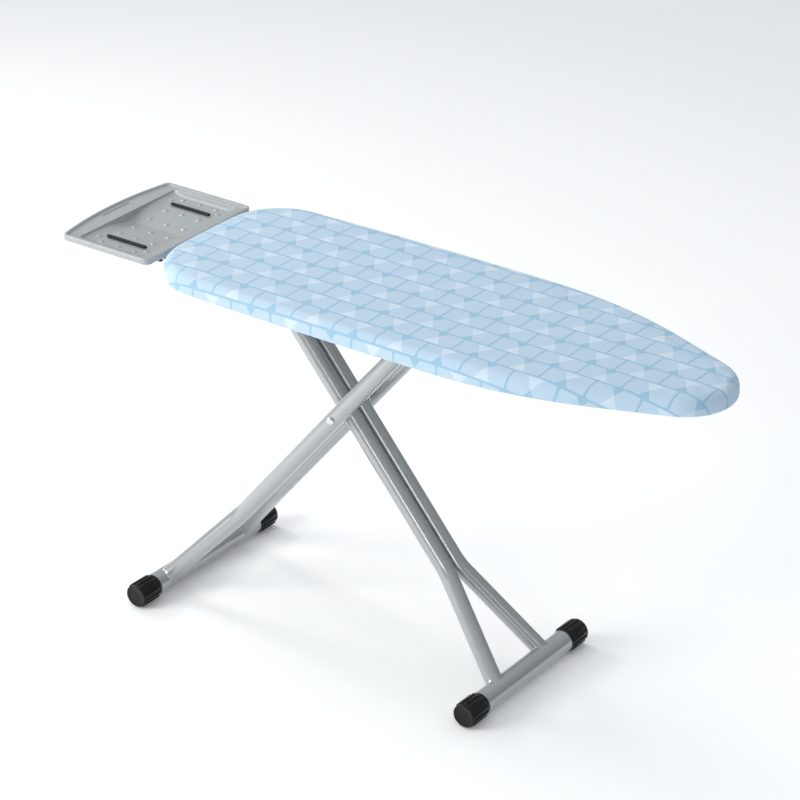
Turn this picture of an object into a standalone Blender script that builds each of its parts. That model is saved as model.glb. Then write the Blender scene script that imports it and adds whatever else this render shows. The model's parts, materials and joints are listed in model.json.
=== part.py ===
"""Ironing board on a folding T-foot stand, with an iron rest at its square end.

Built in metres, +Z up, standing on the floor at z = 0 with the board's length along +X.
Places are given as (x from the board's square end, y from the centre plane, depth below the
board's top face) and turned into model coordinates by at().
"""

import math

import bmesh
import bpy
from mathutils import Vector

# ---------------------------------------------------------------- driving dimensions
BOARD_LENGTH = 1.220
REST_REACH = 0.244          # iron rest's outer edge beyond the board's square end
GAP = 0.0003                # clearance between touching pieces

# Half outline of the board: arcs turning clockwise from the square end to the nose tip.
END_ARC = (3.754, 1.226)    # radius, turn in degrees
CORNER_ARC = (0.1292, 87.02)
SIDE_ARC = (11.47, 2.91)
TAPER_ARC = (0.9287, 20.21)
NOSE_RADIUS = 0.1040

COVER_DEPTH = 0.0377        # height of the covered edge
COVER_EDGE_RADIUS = 0.0208
COVER_HEM_RADIUS = 0.006
COVER_HEM_WIDTH = 0.034
COVER_THICKNESS = 0.001
PAD_BOTTOM = 0.0095
PANEL_TOP = 0.0098
PANEL_THICKNESS = 0.0008
PANEL_INSET = 0.006
RIM_TOP = 0.0109
RIM_BOTTOM = 0.0330
RIM_INSET = 0.0055
RIM_FLANGE = 0.016
RIM_LIP = 0.012
SHEET = 0.001

BRACE_TOP = 0.0110
BRACE_BOTTOM = 0.0362
BRACE_WIDTH = 0.030
BRACE_WALL = 0.0012
BRACE_INSET = 0.0220
BRACKET_TOP = 0.0365        # brackets and rails hang from the braces' undersides
BRACKET_WALL = 0.002
BRACKET_EAR = 0.0373        # inner faces of the hinge bracket's ears
BRACKET_HALF = 0.016        # half length of the bracket along the board
BRACKET_BELOW_PIN = 0.014
BRACKET_ROUND = 0.012

# Stand: a symmetric X. The inner pair hinges at the board, the outer pair slides.
JOINT_DEPTH = 0.0660        # hinge pin and slide bar
HINGE_X = 0.1901
PIVOT_X = 0.3744
PIVOT_DEPTH = 0.2872
FOOT_DEPTH = 0.7515
INNER_BEND = (0.6138, 0.5734)
OUTER_BEND = (0.1321, 0.5790)
INNER_FOOT_X = 0.7821
OUTER_FOOT_X = -0.0229
INNER_Y = 0.0191
OUTER_Y = 0.0598
INNER_FOOT_Y = 0.0839
OUTER_FOOT_Y = 0.1268
INNER_FOOT_HALF = 0.2023    # to the end of the foot cap
OUTER_FOOT_HALF = 0.2223
LEG_RADIUS = 0.0176
LEG_WALL = 0.0012
LEG_OVERRUN = 0.016         # tube beyond the hinge pin or slide bar
BEND_RADIUS = 0.15
FOOT_RADIUS = 0.0230
FOOT_WALL = 0.0012

CAP_LENGTH = 0.058
CAP_RADIUS = 0.0247
CAP_FLOOR = 0.006
RIB_RADIUS = 0.0265
RIB_COUNT = 14
RIB_START = 0.0065
RIB_END = 0.0490
RIB_BEVEL = 0.0015
RIB_CREST = 5.2             # half angles of a rib, degrees
RIB_BASE = 6.8
TOP_HEIGHT = FOOT_DEPTH + RIB_RADIUS * math.cos(math.radians(RIB_CREST))
SLIDE_BAR_X = 2 * PIVOT_X - HINGE_X

PIN_RADIUS = 0.005
BAR_RADIUS = 0.006
BOLT_RADIUS = 0.004
BOLT_END = 0.0078           # short enough to pass the slide rail when the stand is folded
NUT_HEIGHT = 0.0066
RUNNING = 0.0003            # radial clearance of a pin in its hole
SIDE_PLAY = 0.0006          # clearance along an axle beside a sliding or turning piece
PIN_HEAD_RADIUS = 0.0080
PIN_HEAD_HEIGHT = 0.0013
BAR_HALF = 0.0975           # half length of the slide bar
BAR_CHAMFER = 0.001
ROLLER_RADIUS = 0.0095
ROLLER_WIDTH = 0.0055
SPACER_RADIUS = 0.0090
BUSH_RADIUS = 0.0100
BOLT_HEAD_RADIUS = 0.0076
BOLT_HEAD_HEIGHT = 0.0052
SOCKET_RADIUS = 0.0032
SOCKET_DEPTH = 0.0027
NUT_CORNER = 0.0074         # nut's radius to its corners
PLUG_HEIGHT = 0.0024
PLUG_DEPTH = 0.0070

RAIL_Y = 0.0878
RAIL_START = 0.385
RAIL_END = 0.825
RAIL_DEEP_START = 0.465
RAIL_SHALLOW = 0.0570
RAIL_BOTTOM = 0.0795
RAIL_FLANGE = 0.016
SLOT_START = 0.494
SLOT_END = 0.775
SLOT_HALF = 0.0066
RAIL_CORNER = 0.006         # cut corners of the rail plate
RAIL_STEP = 0.022           # run of the slope from the rail's shallow end to its deep part

LEVER_X = 0.400
LEVER_DEPTH = 0.048
LEVER_RADIUS = 0.004
LEVER_Y_START = -0.0955
LEVER_Y_ARM = 0.185
LEVER_REACH = 0.115
LEVER_DROP = 0.024
LEVER_BEND = 0.012
GRIP_LENGTH = 0.075
SPRING_TURNS = 3
SPRING_WIRE = 0.0010
SPRING_RADIUS = 0.0066
SPRING_LENGTH = 0.009
SPRING_START = 0.020        # from the lever rod's near end
COMB_Y = 0.0395
COMB_WALL = 0.002
COMB_HUB = 0.0085
COMB_TOP = 0.0430
COMB_ROOT = 0.0500
COMB_TIP = 0.0590           # 1 mm above the slide bar; the lever's low stop drops a notch over it
NOTCH_PITCH = 0.02835
NOTCH_COUNT = 6
NOTCH_HALF = 0.0080
NOTCH_LEAD = 0.0015         # chamfer at a notch's mouth
COMB_SHOULDER = 0.030       # from the lever's axis to where the comb's back runs level
COMB_OVERHANG = 0.018       # comb beyond its last notch
COMB_LEAD = 0.014           # solid comb before its first notch

REST_RIGHT = -0.006
REST_HALF = 0.1655
REST_BOW = 0.0175
REST_CORNER = 0.014
REST_RIM_DEPTH = 0.0135
REST_PLATEAU = 0.0175
REST_SKIRT_DEPTH = 0.0260
REST_WALL = 0.0025
DISH_LEFT = -0.195
DISH_RIGHT = -0.031
DISH_HALF = 0.151
FLOOR_EDGE = 0.0255
FLOOR_DROP = 0.0095
LEDGE_BULGE = 0.026
STRIP_Y = 0.0995
STRIP_X = (-0.164, -0.063)
STRIP_WIDTH = 0.0076
STRIP_HEIGHT = 0.0048
STRIP_LIFT = 0.0012         # gap that keeps a strip clear of the sloping dish floor
DISH_CORNER = 0.008
ROD_Y = 0.086
ROD_DEPTH = 0.0437
ROD_RADIUS = 0.004
ROD_X = (-0.205, 0.215)
CLIP_X = (-0.185, -0.045)
CLIP_HALF_X = 0.011
CLIP_HALF_Y = 0.0065
CLIP_FLOOR = 0.003          # plastic below the rod
BRACE_X = {"end": 0.060, "hinge": HINGE_X, "latch": LEVER_X, "rail": 0.810}

LEGS = {
    "inner": {"top": (HINGE_X, JOINT_DEPTH), "bend": INNER_BEND, "foot_x": INNER_FOOT_X, "y": INNER_Y,
              "foot_y": INNER_FOOT_Y, "foot_half": INNER_FOOT_HALF, "bore": PIN_RADIUS + RUNNING},
    "outer": {"top": (SLIDE_BAR_X, JOINT_DEPTH), "bend": OUTER_BEND, "foot_x": OUTER_FOOT_X, "y": OUTER_Y,
              "foot_y": OUTER_FOOT_Y, "foot_half": OUTER_FOOT_HALF, "bore": BAR_RADIUS + RUNNING},
}

CUT_MARGIN = 0.004          # how far a hole's cutter runs past the wall it cuts
LEG_SIDES = 20
FOOT_SIDES = 28
ROD_SIDES = 12
SIDE_NAMES = {-1: "near", 1: "far"}
X_AXIS = Vector((1, 0, 0))
Y_AXIS = Vector((0, 1, 0))
Z_AXIS = Vector((0, 0, 1))


def at(x, y, depth):
    """Model coordinates of a place on the board."""
    return Vector((x - (BOARD_LENGTH - REST_REACH) / 2, y, TOP_HEIGHT - depth))


# ---------------------------------------------------------------- scene, materials, joints
def clear_scene():
    for obj in list(bpy.data.objects):
        bpy.data.objects.remove(obj, do_unlink=True)


def material(name, colour, roughness, metallic=0.0):
    mat = bpy.data.materials.new(name)
    mat.use_nodes = True
    shader = mat.node_tree.nodes["Principled BSDF"]
    shader.inputs["Base Color"].default_value = (*colour, 1.0)
    shader.inputs["Roughness"].default_value = roughness
    shader.inputs["Metallic"].default_value = metallic
    mat.diffuse_color = (*colour, 1.0)
    return mat


def make_materials():
    return {
        "cover_fabric": material("cover_fabric", (0.50, 0.63, 0.78), 0.85),
        "pad_felt": material("pad_felt", (0.85, 0.85, 0.82), 0.95),
        "board_steel": material("board_steel", (0.72, 0.74, 0.75), 0.45, 0.3),
        "leg_paint": material("leg_paint", (0.33, 0.36, 0.38), 0.32, 0.6),
        "zinc_steel": material("zinc_steel", (0.62, 0.63, 0.64), 0.30, 1.0),
        "chrome": material("chrome", (0.80, 0.80, 0.80), 0.08, 1.0),
        "cap_plastic": material("cap_plastic", (0.012, 0.013, 0.014), 0.38),
        "rest_plastic": material("rest_plastic", (0.38, 0.40, 0.41), 0.35),
        "strip_rubber": material("strip_rubber", (0.008, 0.008, 0.008), 0.55),
        "bush_nylon": material("bush_nylon", (0.75, 0.75, 0.72), 0.45),
    }


def joint_empty(name, place, parent=None):
    empty = bpy.data.objects.new(name, None)
    empty.empty_display_size = 0.03
    bpy.context.collection.objects.link(empty)
    empty.location = place
    if parent:
        empty.parent = parent
        empty.location = place - parent.matrix_world.translation
    bpy.context.view_layer.update()
    return empty


def make_object(name, bm, mat, parent, smooth=35.0):
    """Turn a bmesh in model coordinates into an object whose origin is its joint's axis."""
    bmesh.ops.recalc_face_normals(bm, faces=bm.faces)
    origin = parent.matrix_world.translation
    bmesh.ops.translate(bm, vec=-origin, verts=bm.verts)
    mesh = bpy.data.meshes.new(name)
    bm.to_mesh(mesh)
    bm.free()
    mesh.shade_smooth()
    mesh.set_sharp_from_angle(angle=math.radians(smooth))
    mesh.materials.append(mat)
    obj = bpy.data.objects.new(name, mesh)
    bpy.context.collection.objects.link(obj)
    obj.parent = parent
    return obj


def boolean(obj, tool, operation="DIFFERENCE"):
    tool.hide_render = True
    tool.display_type = "WIRE"
    modifier = obj.modifiers.new(operation.lower(), "BOOLEAN")
    modifier.object = tool
    modifier.operation = operation
    modifier.solver = "EXACT"


# ---------------------------------------------------------------- shape helpers
def loft(rings, loop=False, cap=True):
    """Skin rings of equal length; loop joins the last ring to the first, cap fills the ends."""
    bm = bmesh.new()
    rows = [[bm.verts.new(point) for point in ring] for ring in rings]
    pairs = list(zip(rows, rows[1:]))
    if loop:
        pairs.append((rows[-1], rows[0]))
    for low, high in pairs:
        for i in range(len(low)):
            j = (i + 1) % len(low)
            bm.faces.new((low[i], low[j], high[j], high[i]))
    if cap and not loop:
        bm.faces.new(rows[0])
        bm.faces.new(rows[-1])
    return bm


def circle(centre, tangent, radius, sides, up=Y_AXIS):
    u = (up - tangent * up.dot(tangent)).normalized()
    v = tangent.cross(u)
    turns = [2 * math.pi * (i + 0.5) / sides for i in range(sides)]
    return [centre + (u * math.cos(a) + v * math.sin(a)) * radius for a in turns]


def tangents(path):
    runs = [(b - a).normalized() for a, b in zip(path, path[1:])]
    return [runs[0]] + [(a + b).normalized() for a, b in zip(runs, runs[1:])] + [runs[-1]]


def rod(path, radius, sides=ROD_SIDES, up=Y_AXIS):
    return loft([circle(p, t, radius, sides, up) for p, t in zip(path, tangents(path))])


def turned(profile, centre, axis=Y_AXIS, sides=24, hollow=False):
    """Solid or ring of revolution: profile is a list of (distance along axis, radius)."""
    up = Z_AXIS if abs(axis.dot(Z_AXIS)) < 0.5 else X_AXIS
    rings = [circle(centre + axis * s, axis, r, sides, up) for s, r in profile]
    return loft(rings, loop=hollow)


def extruded(points, offset):
    """Prism from a planar polygon of model points."""
    return loft([points, [p + offset for p in points]])


def box(low, high):
    """Box between two (x, y, depth) corners."""
    (x0, y0, d0), (x1, y1, d1) = low, high
    return extruded([at(x0, y0, d1), at(x1, y0, d1), at(x1, y1, d1), at(x0, y1, d1)],
                    Vector((0, 0, d1 - d0)))


def fillet(start, corner, end, radius, steps):
    """Path from start to end with the corner rounded by an arc."""
    back = (start - corner).normalized()
    ahead = (end - corner).normalized()
    half = back.angle(ahead) / 2
    trim = radius / math.tan(half)
    centre = corner + (back + ahead).normalized() * (radius / math.sin(half))
    first = corner + back * trim - centre
    last = corner + ahead * trim - centre
    sweep = first.angle(last)
    arc = [(first * math.sin(sweep * (1 - t)) + last * math.sin(sweep * t)) / math.sin(sweep)
           for t in (i / steps for i in range(steps + 1))]
    return [start] + [centre + p for p in arc] + [end]


# ---------------------------------------------------------------- board outline
def arc_points(x, y, heading, radius, turn, steps):
    """Clockwise arc: points after the start, then the end place and heading (degrees)."""
    points = []
    for i in range(1, steps + 1):
        h = math.radians(heading - turn * i / steps)
        h0 = math.radians(heading)
        points.append((x + radius * (math.sin(h0) - math.sin(h)),
                       y + radius * (math.cos(h) - math.cos(h0))))
    return points, points[-1], heading - turn


def outline_arcs(inset):
    """Half outline up to its straight run: its points, and the place and heading at their end."""
    place, heading = (inset, 0.0), 90.0
    points = [place]
    for (radius, turn), steps in ((END_ARC, 1), (CORNER_ARC, 8), (SIDE_ARC, 3), (TAPER_ARC, 7)):
        added, place, heading = arc_points(*place, heading, radius - inset, turn, steps)
        points += added
    return points, place, heading


def outline(inset=0.0):
    """Closed board outline, (x, y) pairs, moved inwards by inset."""
    _, place, heading = outline_arcs(0.0)
    h = math.radians(heading)
    straight = (place[1] - NOSE_RADIUS * math.cos(h)) / -math.sin(h)
    far, place, heading = outline_arcs(inset)
    place = (place[0] + straight * math.cos(h), place[1] + straight * math.sin(h))
    nose, tip, _ = arc_points(*place, heading, NOSE_RADIUS - inset, heading + 90, 8)
    far += [place] + nose[:-1] + [(tip[0], 0.0)]
    near = [(x, -y) for x, y in reversed(far[1:-1])]
    return far + near


def outline_ring(inset, depth):
    return [at(x, y, depth) for x, y in outline(inset)]


def half_width(x, inset):
    """Half width of the board at x, measured on the outline moved in by inset."""
    upper = [p for p in outline(inset) if p[1] >= 0]
    for (x0, y0), (x1, y1) in zip(upper, upper[1:]):
        if x0 <= x <= x1:
            return y0 + (y1 - y0) * (x - x0) / (x1 - x0)
    raise ValueError("outside the board")


def rounded_profile(radius, centre_depth, start, stop, steps):
    """(inset, depth) pairs along the rounded top edge, angles in degrees from the side."""
    pairs = []
    for i in range(steps + 1):
        a = math.radians(start + (stop - start) * i / steps)
        pairs.append((COVER_EDGE_RADIUS - radius * math.cos(a), centre_depth - radius * math.sin(a)))
    return pairs


def cover_profile(offset):
    """Cover section from the top face round the edge to the hem, offset inside the outer face."""
    top = rounded_profile(COVER_EDGE_RADIUS - offset, COVER_EDGE_RADIUS, 90, 0, 5)
    bottom = []
    for angle in (0, 45, 90):
        a = math.radians(angle)
        r = COVER_HEM_RADIUS - offset
        bottom.append((COVER_HEM_RADIUS - r * math.cos(a), COVER_DEPTH - COVER_HEM_RADIUS + r * math.sin(a)))
    return top + bottom + [(COVER_HEM_WIDTH, COVER_DEPTH - offset)]


def make_board_top(mats, board):
    section = cover_profile(0.0) + list(reversed(cover_profile(COVER_THICKNESS)))
    bm = loft([outline_ring(i, d) for i, d in section])
    make_object("cover", bm, mats["cover_fabric"], board)

    pad_radius = COVER_EDGE_RADIUS - COVER_THICKNESS - GAP
    low_angle = math.degrees(math.asin((COVER_EDGE_RADIUS - PAD_BOTTOM) / pad_radius))
    section = rounded_profile(pad_radius, COVER_EDGE_RADIUS, 90, low_angle, 3)
    bm = loft([outline_ring(i, d) for i, d in section])
    make_object("pad", bm, mats["pad_felt"], board)

    bm = loft([outline_ring(PANEL_INSET, d) for d in (PANEL_TOP, PANEL_TOP + PANEL_THICKNESS)])
    make_object("top_panel", bm, mats["board_steel"], board)

    web = RIM_INSET + SHEET
    channel = [
        (RIM_INSET + RIM_FLANGE, RIM_TOP), (RIM_INSET, RIM_TOP), (RIM_INSET, RIM_BOTTOM),
        (RIM_INSET + RIM_LIP, RIM_BOTTOM), (RIM_INSET + RIM_LIP, RIM_BOTTOM - SHEET),
        (web, RIM_BOTTOM - SHEET), (web, RIM_TOP + SHEET), (RIM_INSET + RIM_FLANGE, RIM_TOP + SHEET),
    ]
    bm = loft([outline_ring(i, d) for i, d in channel], loop=True)
    make_object("rim_frame", bm, mats["board_steel"], board)


# ---------------------------------------------------------------- braces, brackets, rails
def make_braces(mats, board):
    for name, x in BRACE_X.items():
        half = BRACE_WIDTH / 2
        reach = min(half_width(x - half, BRACE_INSET), half_width(x + half, BRACE_INSET))
        inner = half - BRACE_WALL
        section = [(-half, BRACE_BOTTOM), (-half, BRACE_TOP), (half, BRACE_TOP), (half, BRACE_BOTTOM),
                   (inner, BRACE_BOTTOM), (inner, BRACE_TOP + BRACE_WALL),
                   (-inner, BRACE_TOP + BRACE_WALL), (-inner, BRACE_BOTTOM)]
        points = [at(x + dx, -reach, d) for dx, d in section]
        bm = extruded(points, Y_AXIS * 2 * reach)
        make_object("brace_" + name, bm, mats["board_steel"], board)


def make_hinge_bracket(mats, board):
    """Channel with two rounded ears that carry the hinge pin."""
    ear = BRACKET_EAR
    outer = ear + BRACKET_WALL
    bottom = JOINT_DEPTH + BRACKET_BELOW_PIN
    section = [(-outer, bottom), (-outer, BRACKET_TOP), (outer, BRACKET_TOP), (outer, bottom),
               (ear, bottom), (ear, BRACKET_TOP + BRACKET_WALL),
               (-ear, BRACKET_TOP + BRACKET_WALL), (-ear, bottom)]
    points = [at(HINGE_X - BRACKET_HALF, y, d) for y, d in section]
    bm = extruded(points, X_AXIS * 2 * BRACKET_HALF)
    lowest = at(0, 0, bottom).z
    corners = [e for e in bm.edges
               if all(abs(v.co.z - lowest) < 1e-6 for v in e.verts)
               and abs(e.verts[0].co.x - e.verts[1].co.x) < 1e-6]
    bmesh.ops.bevel(bm, geom=corners, offset=BRACKET_ROUND, segments=4, profile=0.5, affect="EDGES")
    bracket = make_object("hinge_bracket", bm, mats["zinc_steel"], board)
    reach = outer + CUT_MARGIN
    hole = turned([(-reach, PIN_RADIUS + RUNNING), (reach, PIN_RADIUS + RUNNING)],
                  at(HINGE_X, 0, JOINT_DEPTH), sides=ROD_SIDES)
    boolean(bracket, make_object("cut_hinge_bracket", hole, mats["zinc_steel"], board))

    head = outer + GAP
    end = head + PIN_HEAD_HEIGHT
    pin = [(-end, PIN_HEAD_RADIUS), (-head, PIN_HEAD_RADIUS), (-head, PIN_RADIUS), (head, PIN_RADIUS),
           (head, PIN_HEAD_RADIUS), (end, PIN_HEAD_RADIUS)]
    bm = turned(pin, at(HINGE_X, 0, JOINT_DEPTH), sides=ROD_SIDES)
    make_object("hinge_pin", bm, mats["zinc_steel"], board)


def slot_cutter(side):
    """Stadium-shaped cutter for the slide bar's slot."""
    points = []
    for centre, first in ((SLOT_START, 90), (SLOT_END, -90)):
        for i in range(9):
            a = math.radians(first + 180 * i / 8)
            points.append((centre + SLOT_HALF * math.cos(a), JOINT_DEPTH - SLOT_HALF * math.sin(a)))
    reach = BRACKET_WALL / 2 + CUT_MARGIN
    y = side * RAIL_Y
    return extruded([at(x, y - reach, d) for x, d in points], Y_AXIS * 2 * reach)


def make_rails(mats, board):
    """Slotted plates, flanged along their upper edge, that the slide bar runs in."""
    half = BRACKET_WALL / 2
    corner = RAIL_CORNER
    plate = [(RAIL_START, BRACKET_TOP), (RAIL_END, BRACKET_TOP), (RAIL_END, RAIL_BOTTOM - corner),
             (RAIL_END - corner, RAIL_BOTTOM), (RAIL_DEEP_START, RAIL_BOTTOM),
             (RAIL_DEEP_START - RAIL_STEP, RAIL_SHALLOW),
             (RAIL_START + corner, RAIL_SHALLOW), (RAIL_START, RAIL_SHALLOW - corner)]
    reach = half + CUT_MARGIN
    for side, name in SIDE_NAMES.items():
        y = side * RAIL_Y
        bm = extruded([at(x, y - half, d) for x, d in plate], Y_AXIS * BRACKET_WALL)
        rail = make_object("slide_rail_" + name, bm, mats["zinc_steel"], board)
        edge = y + side * (half + RAIL_FLANGE)
        low, high = sorted((y - side * half, edge))
        flange = box((RAIL_START, low, BRACKET_TOP), (RAIL_END, high, BRACKET_TOP + BRACKET_WALL))
        boolean(rail, make_object("add_flange_" + name, flange, mats["zinc_steel"], board), "UNION")
        boolean(rail, make_object("cut_slot_" + name, slot_cutter(side), mats["zinc_steel"], board))
        hole = turned([(-reach, LEVER_RADIUS + RUNNING), (reach, LEVER_RADIUS + RUNNING)],
                      at(LEVER_X, y, LEVER_DEPTH), sides=ROD_SIDES)
        boolean(rail, make_object("cut_lever_" + name, hole, mats["zinc_steel"], board))


# ---------------------------------------------------------------- height lever
def comb_outline():
    """Latch comb seen from the side, (x, depth): hub, arm and the notches over the slide bar."""
    first = SLIDE_BAR_X - 2 * NOTCH_PITCH
    end = first + (NOTCH_COUNT - 1) * NOTCH_PITCH + COMB_OVERHANG
    points = [(LEVER_X, LEVER_DEPTH - COMB_HUB), (LEVER_X + COMB_SHOULDER, COMB_TOP),
              (end, COMB_TOP), (end, COMB_ROOT + 0.004)]
    mouth = COMB_TIP - NOTCH_LEAD
    for i in reversed(range(NOTCH_COUNT)):
        x = first + i * NOTCH_PITCH
        points.append((x + NOTCH_HALF + NOTCH_LEAD, COMB_TIP))
        for step in range(5):
            a = math.radians(180 * step / 4)
            points.append((x + NOTCH_HALF * math.cos(a), mouth - (mouth - COMB_ROOT) * math.sin(a)))
        points.append((x - NOTCH_HALF - NOTCH_LEAD, COMB_TIP))
    points += [(first - COMB_LEAD, COMB_ROOT + 0.003), (LEVER_X, LEVER_DEPTH + COMB_HUB)]
    for i in range(1, 5):
        a = math.radians(180 * i / 5)
        points.append((LEVER_X - COMB_HUB * math.sin(a), LEVER_DEPTH + COMB_HUB * math.cos(a)))
    return points


def make_comb(mats, lever):
    comb = extruded([at(x, COMB_Y - COMB_WALL / 2, d) for x, d in comb_outline()], Y_AXIS * COMB_WALL)
    comb = make_object("latch_comb", comb, mats["zinc_steel"], lever)
    reach = COMB_WALL / 2 + CUT_MARGIN
    bore = turned([(-reach, LEVER_RADIUS + GAP), (reach, LEVER_RADIUS + GAP)],
                  at(LEVER_X, COMB_Y, LEVER_DEPTH), sides=ROD_SIDES)
    boolean(comb, make_object("cut_latch_comb", bore, mats["zinc_steel"], lever))


def make_lever(mats, lever):
    """Rod across the board, bent into an arm along its far edge, with a grip over the arm's end."""
    corner = at(LEVER_X, LEVER_Y_ARM, LEVER_DEPTH)
    tip = at(LEVER_X + LEVER_REACH, LEVER_Y_ARM, LEVER_DEPTH + LEVER_DROP)
    path = fillet(at(LEVER_X, LEVER_Y_START, LEVER_DEPTH), corner, tip, LEVER_BEND, 4)
    make_object("lever_rod", rod(path, LEVER_RADIUS, up=Z_AXIS), mats["zinc_steel"], lever)

    arm = (tip - corner).normalized()
    bore = LEVER_RADIUS + GAP
    grip = [(GRIP_LENGTH - 0.0025, bore), (0.0, bore), (0.0, 0.0065), (0.004, 0.0080), (0.020, 0.0074),
            (GRIP_LENGTH - 0.010, 0.0085), (GRIP_LENGTH - 0.002, 0.0070), (GRIP_LENGTH, 0.0050)]
    start = tip - arm * (GRIP_LENGTH - 0.003)
    bm = loft([circle(start + arm * s, arm, r, 16, Z_AXIS) for s, r in grip])
    make_object("lever_grip", bm, mats["cap_plastic"], lever)


def make_lever_spring(mats, board):
    steps = 9 * SPRING_TURNS
    path = []
    for i in range(steps + 1):
        a = 2 * math.pi * SPRING_TURNS * i / steps
        y = LEVER_Y_START + SPRING_START + SPRING_LENGTH * i / steps
        path.append(at(LEVER_X + SPRING_RADIUS * math.sin(a), y, LEVER_DEPTH - SPRING_RADIUS * math.cos(a)))
    make_object("lever_spring", rod(path, SPRING_WIRE, 5), mats["zinc_steel"], board)


# ---------------------------------------------------------------- stand
def saddle_point(point, direction, axis_place, radius):
    """Where a line first meets a cylinder lying along Y."""
    px, pz = point.x - axis_place.x, point.z - axis_place.z
    dx, dz = direction.x, direction.z
    a = dx * dx + dz * dz
    b = px * dx + pz * dz
    c = px * px + pz * pz - radius * radius
    return point + direction * ((-b - math.sqrt(b * b - a * c)) / a)


def leg_tube(name, top, bend, foot, mat, parent):
    """Bent tube whose lower end is coped to sit on the foot tube."""
    start = top + (top - bend).normalized() * LEG_OVERRUN
    path = fillet(start, bend, foot, BEND_RADIUS, 6)
    steps = tangents(path)

    def skin(radius):
        rings = [circle(p, t, radius, LEG_SIDES) for p, t in zip(path[:-1], steps[:-1])]
        run = steps[-1]
        end = circle(foot - run * 0.08, run, radius, LEG_SIDES)
        rings.append([saddle_point(p, run, foot, FOOT_RADIUS + GAP) for p in end])
        return rings

    rings = skin(LEG_RADIUS) + list(reversed(skin(LEG_RADIUS - LEG_WALL)))
    return make_object(name, loft(rings, loop=True), mat, parent)


def drill(tube, name, place, radius, mat, parent, sides=16):
    reach = LEG_RADIUS + CUT_MARGIN
    cutter = turned([(-reach, radius), (reach, radius)], place, sides=sides)
    boolean(tube, make_object("cut_" + name, cutter, mat, parent))


def end_plug(name, top, bend, mats, parent):
    """Plastic plug in a tube's upper end."""
    along = (top - bend).normalized()
    end = top + along * (LEG_OVERRUN + GAP)
    spigot = LEG_RADIUS - LEG_WALL - GAP
    flange = LEG_RADIUS - 0.0004
    profile = [(-PLUG_DEPTH, spigot - 0.001), (0.001 - PLUG_DEPTH, spigot), (0.0, spigot), (0.0, flange),
               (PLUG_HEIGHT / 2, flange), (PLUG_HEIGHT, flange - 0.0026)]
    rings = [circle(end + along * s, along, r, LEG_SIDES) for s, r in profile]
    make_object(name, loft(rings), mats["cap_plastic"], parent)


def foot_tube(name, place, half, mats, parent):
    reach = half - CAP_FLOOR - GAP
    profile = [(-reach, FOOT_RADIUS), (reach, FOOT_RADIUS), (reach, FOOT_RADIUS - FOOT_WALL),
               (-reach, FOOT_RADIUS - FOOT_WALL)]
    bm = turned(profile, place, sides=FOOT_SIDES, hollow=True)
    make_object(name, bm, mats["leg_paint"], parent)


def cap_ring(place, y, plain, crest):
    """Ring round a foot cap: plain radius in the grooves, crest radius on the ribs."""
    points = []
    for rib in range(RIB_COUNT):
        middle = -90 + 360 * rib / RIB_COUNT
        for shift, radius in ((-RIB_BASE, plain), (-RIB_CREST, crest), (RIB_CREST, crest), (RIB_BASE, plain)):
            a = math.radians(middle + shift)
            points.append(place + Vector((radius * math.cos(a), y, radius * math.sin(a))))
    return points


def foot_cap(name, place, half, side, mats, parent):
    """Ribbed cap closed at its outer end; one rib points straight down as the floor contact."""
    bore = FOOT_RADIUS + GAP
    rows = [(0.0, CAP_RADIUS - 0.0015, CAP_RADIUS - 0.0015), (0.0015, CAP_RADIUS, CAP_RADIUS),
            (RIB_START, CAP_RADIUS, CAP_RADIUS), (RIB_START + RIB_BEVEL, CAP_RADIUS, RIB_RADIUS),
            (RIB_END, CAP_RADIUS, RIB_RADIUS), (RIB_END + RIB_BEVEL, CAP_RADIUS, CAP_RADIUS),
            (CAP_LENGTH, CAP_RADIUS, CAP_RADIUS), (CAP_LENGTH, bore, bore), (CAP_FLOOR, bore, bore)]
    rings = [cap_ring(place, side * (half - s), plain, crest) for s, plain, crest in rows]
    make_object(name, loft(rings), mats["cap_plastic"], parent)


def make_leg_pair(pair, mats, parent):
    """One pair of legs with its foot."""
    leg = LEGS[pair]
    foot_place = at(leg["foot_x"], 0, FOOT_DEPTH)
    (top_x, top_depth), (bend_x, bend_depth) = leg["top"], leg["bend"]
    for side, name in SIDE_NAMES.items():
        y = side * leg["y"]
        top = at(top_x, y, top_depth)
        bend = at(bend_x, y, bend_depth)
        foot = at(leg["foot_x"], side * leg["foot_y"], FOOT_DEPTH)
        tube = leg_tube(pair + "_tube_" + name, top, bend, foot, mats["leg_paint"], parent)
        drill(tube, pair + "_top_" + name, top, leg["bore"], mats["leg_paint"], parent)
        drill(tube, pair + "_pivot_" + name, at(PIVOT_X, y, PIVOT_DEPTH), BOLT_RADIUS + RUNNING,
              mats["leg_paint"], parent)
        end_plug(pair + "_plug_" + name, top, bend, mats, parent)
        foot_cap(pair + "_foot_cap_" + name, foot_place, leg["foot_half"], side, mats, parent)
    foot_tube(pair + "_foot_tube", foot_place, leg["foot_half"], mats, parent)


def sleeve(name, place, length, radius, bore, mat, parent, sides=16):
    """Tube along Y that starts at place; a negative length runs towards -Y."""
    profile = [(0.0, bore), (0.0, radius), (length, radius), (length, bore)]
    make_object(name, turned(profile, place, sides=sides, hollow=True), mat, parent)


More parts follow.
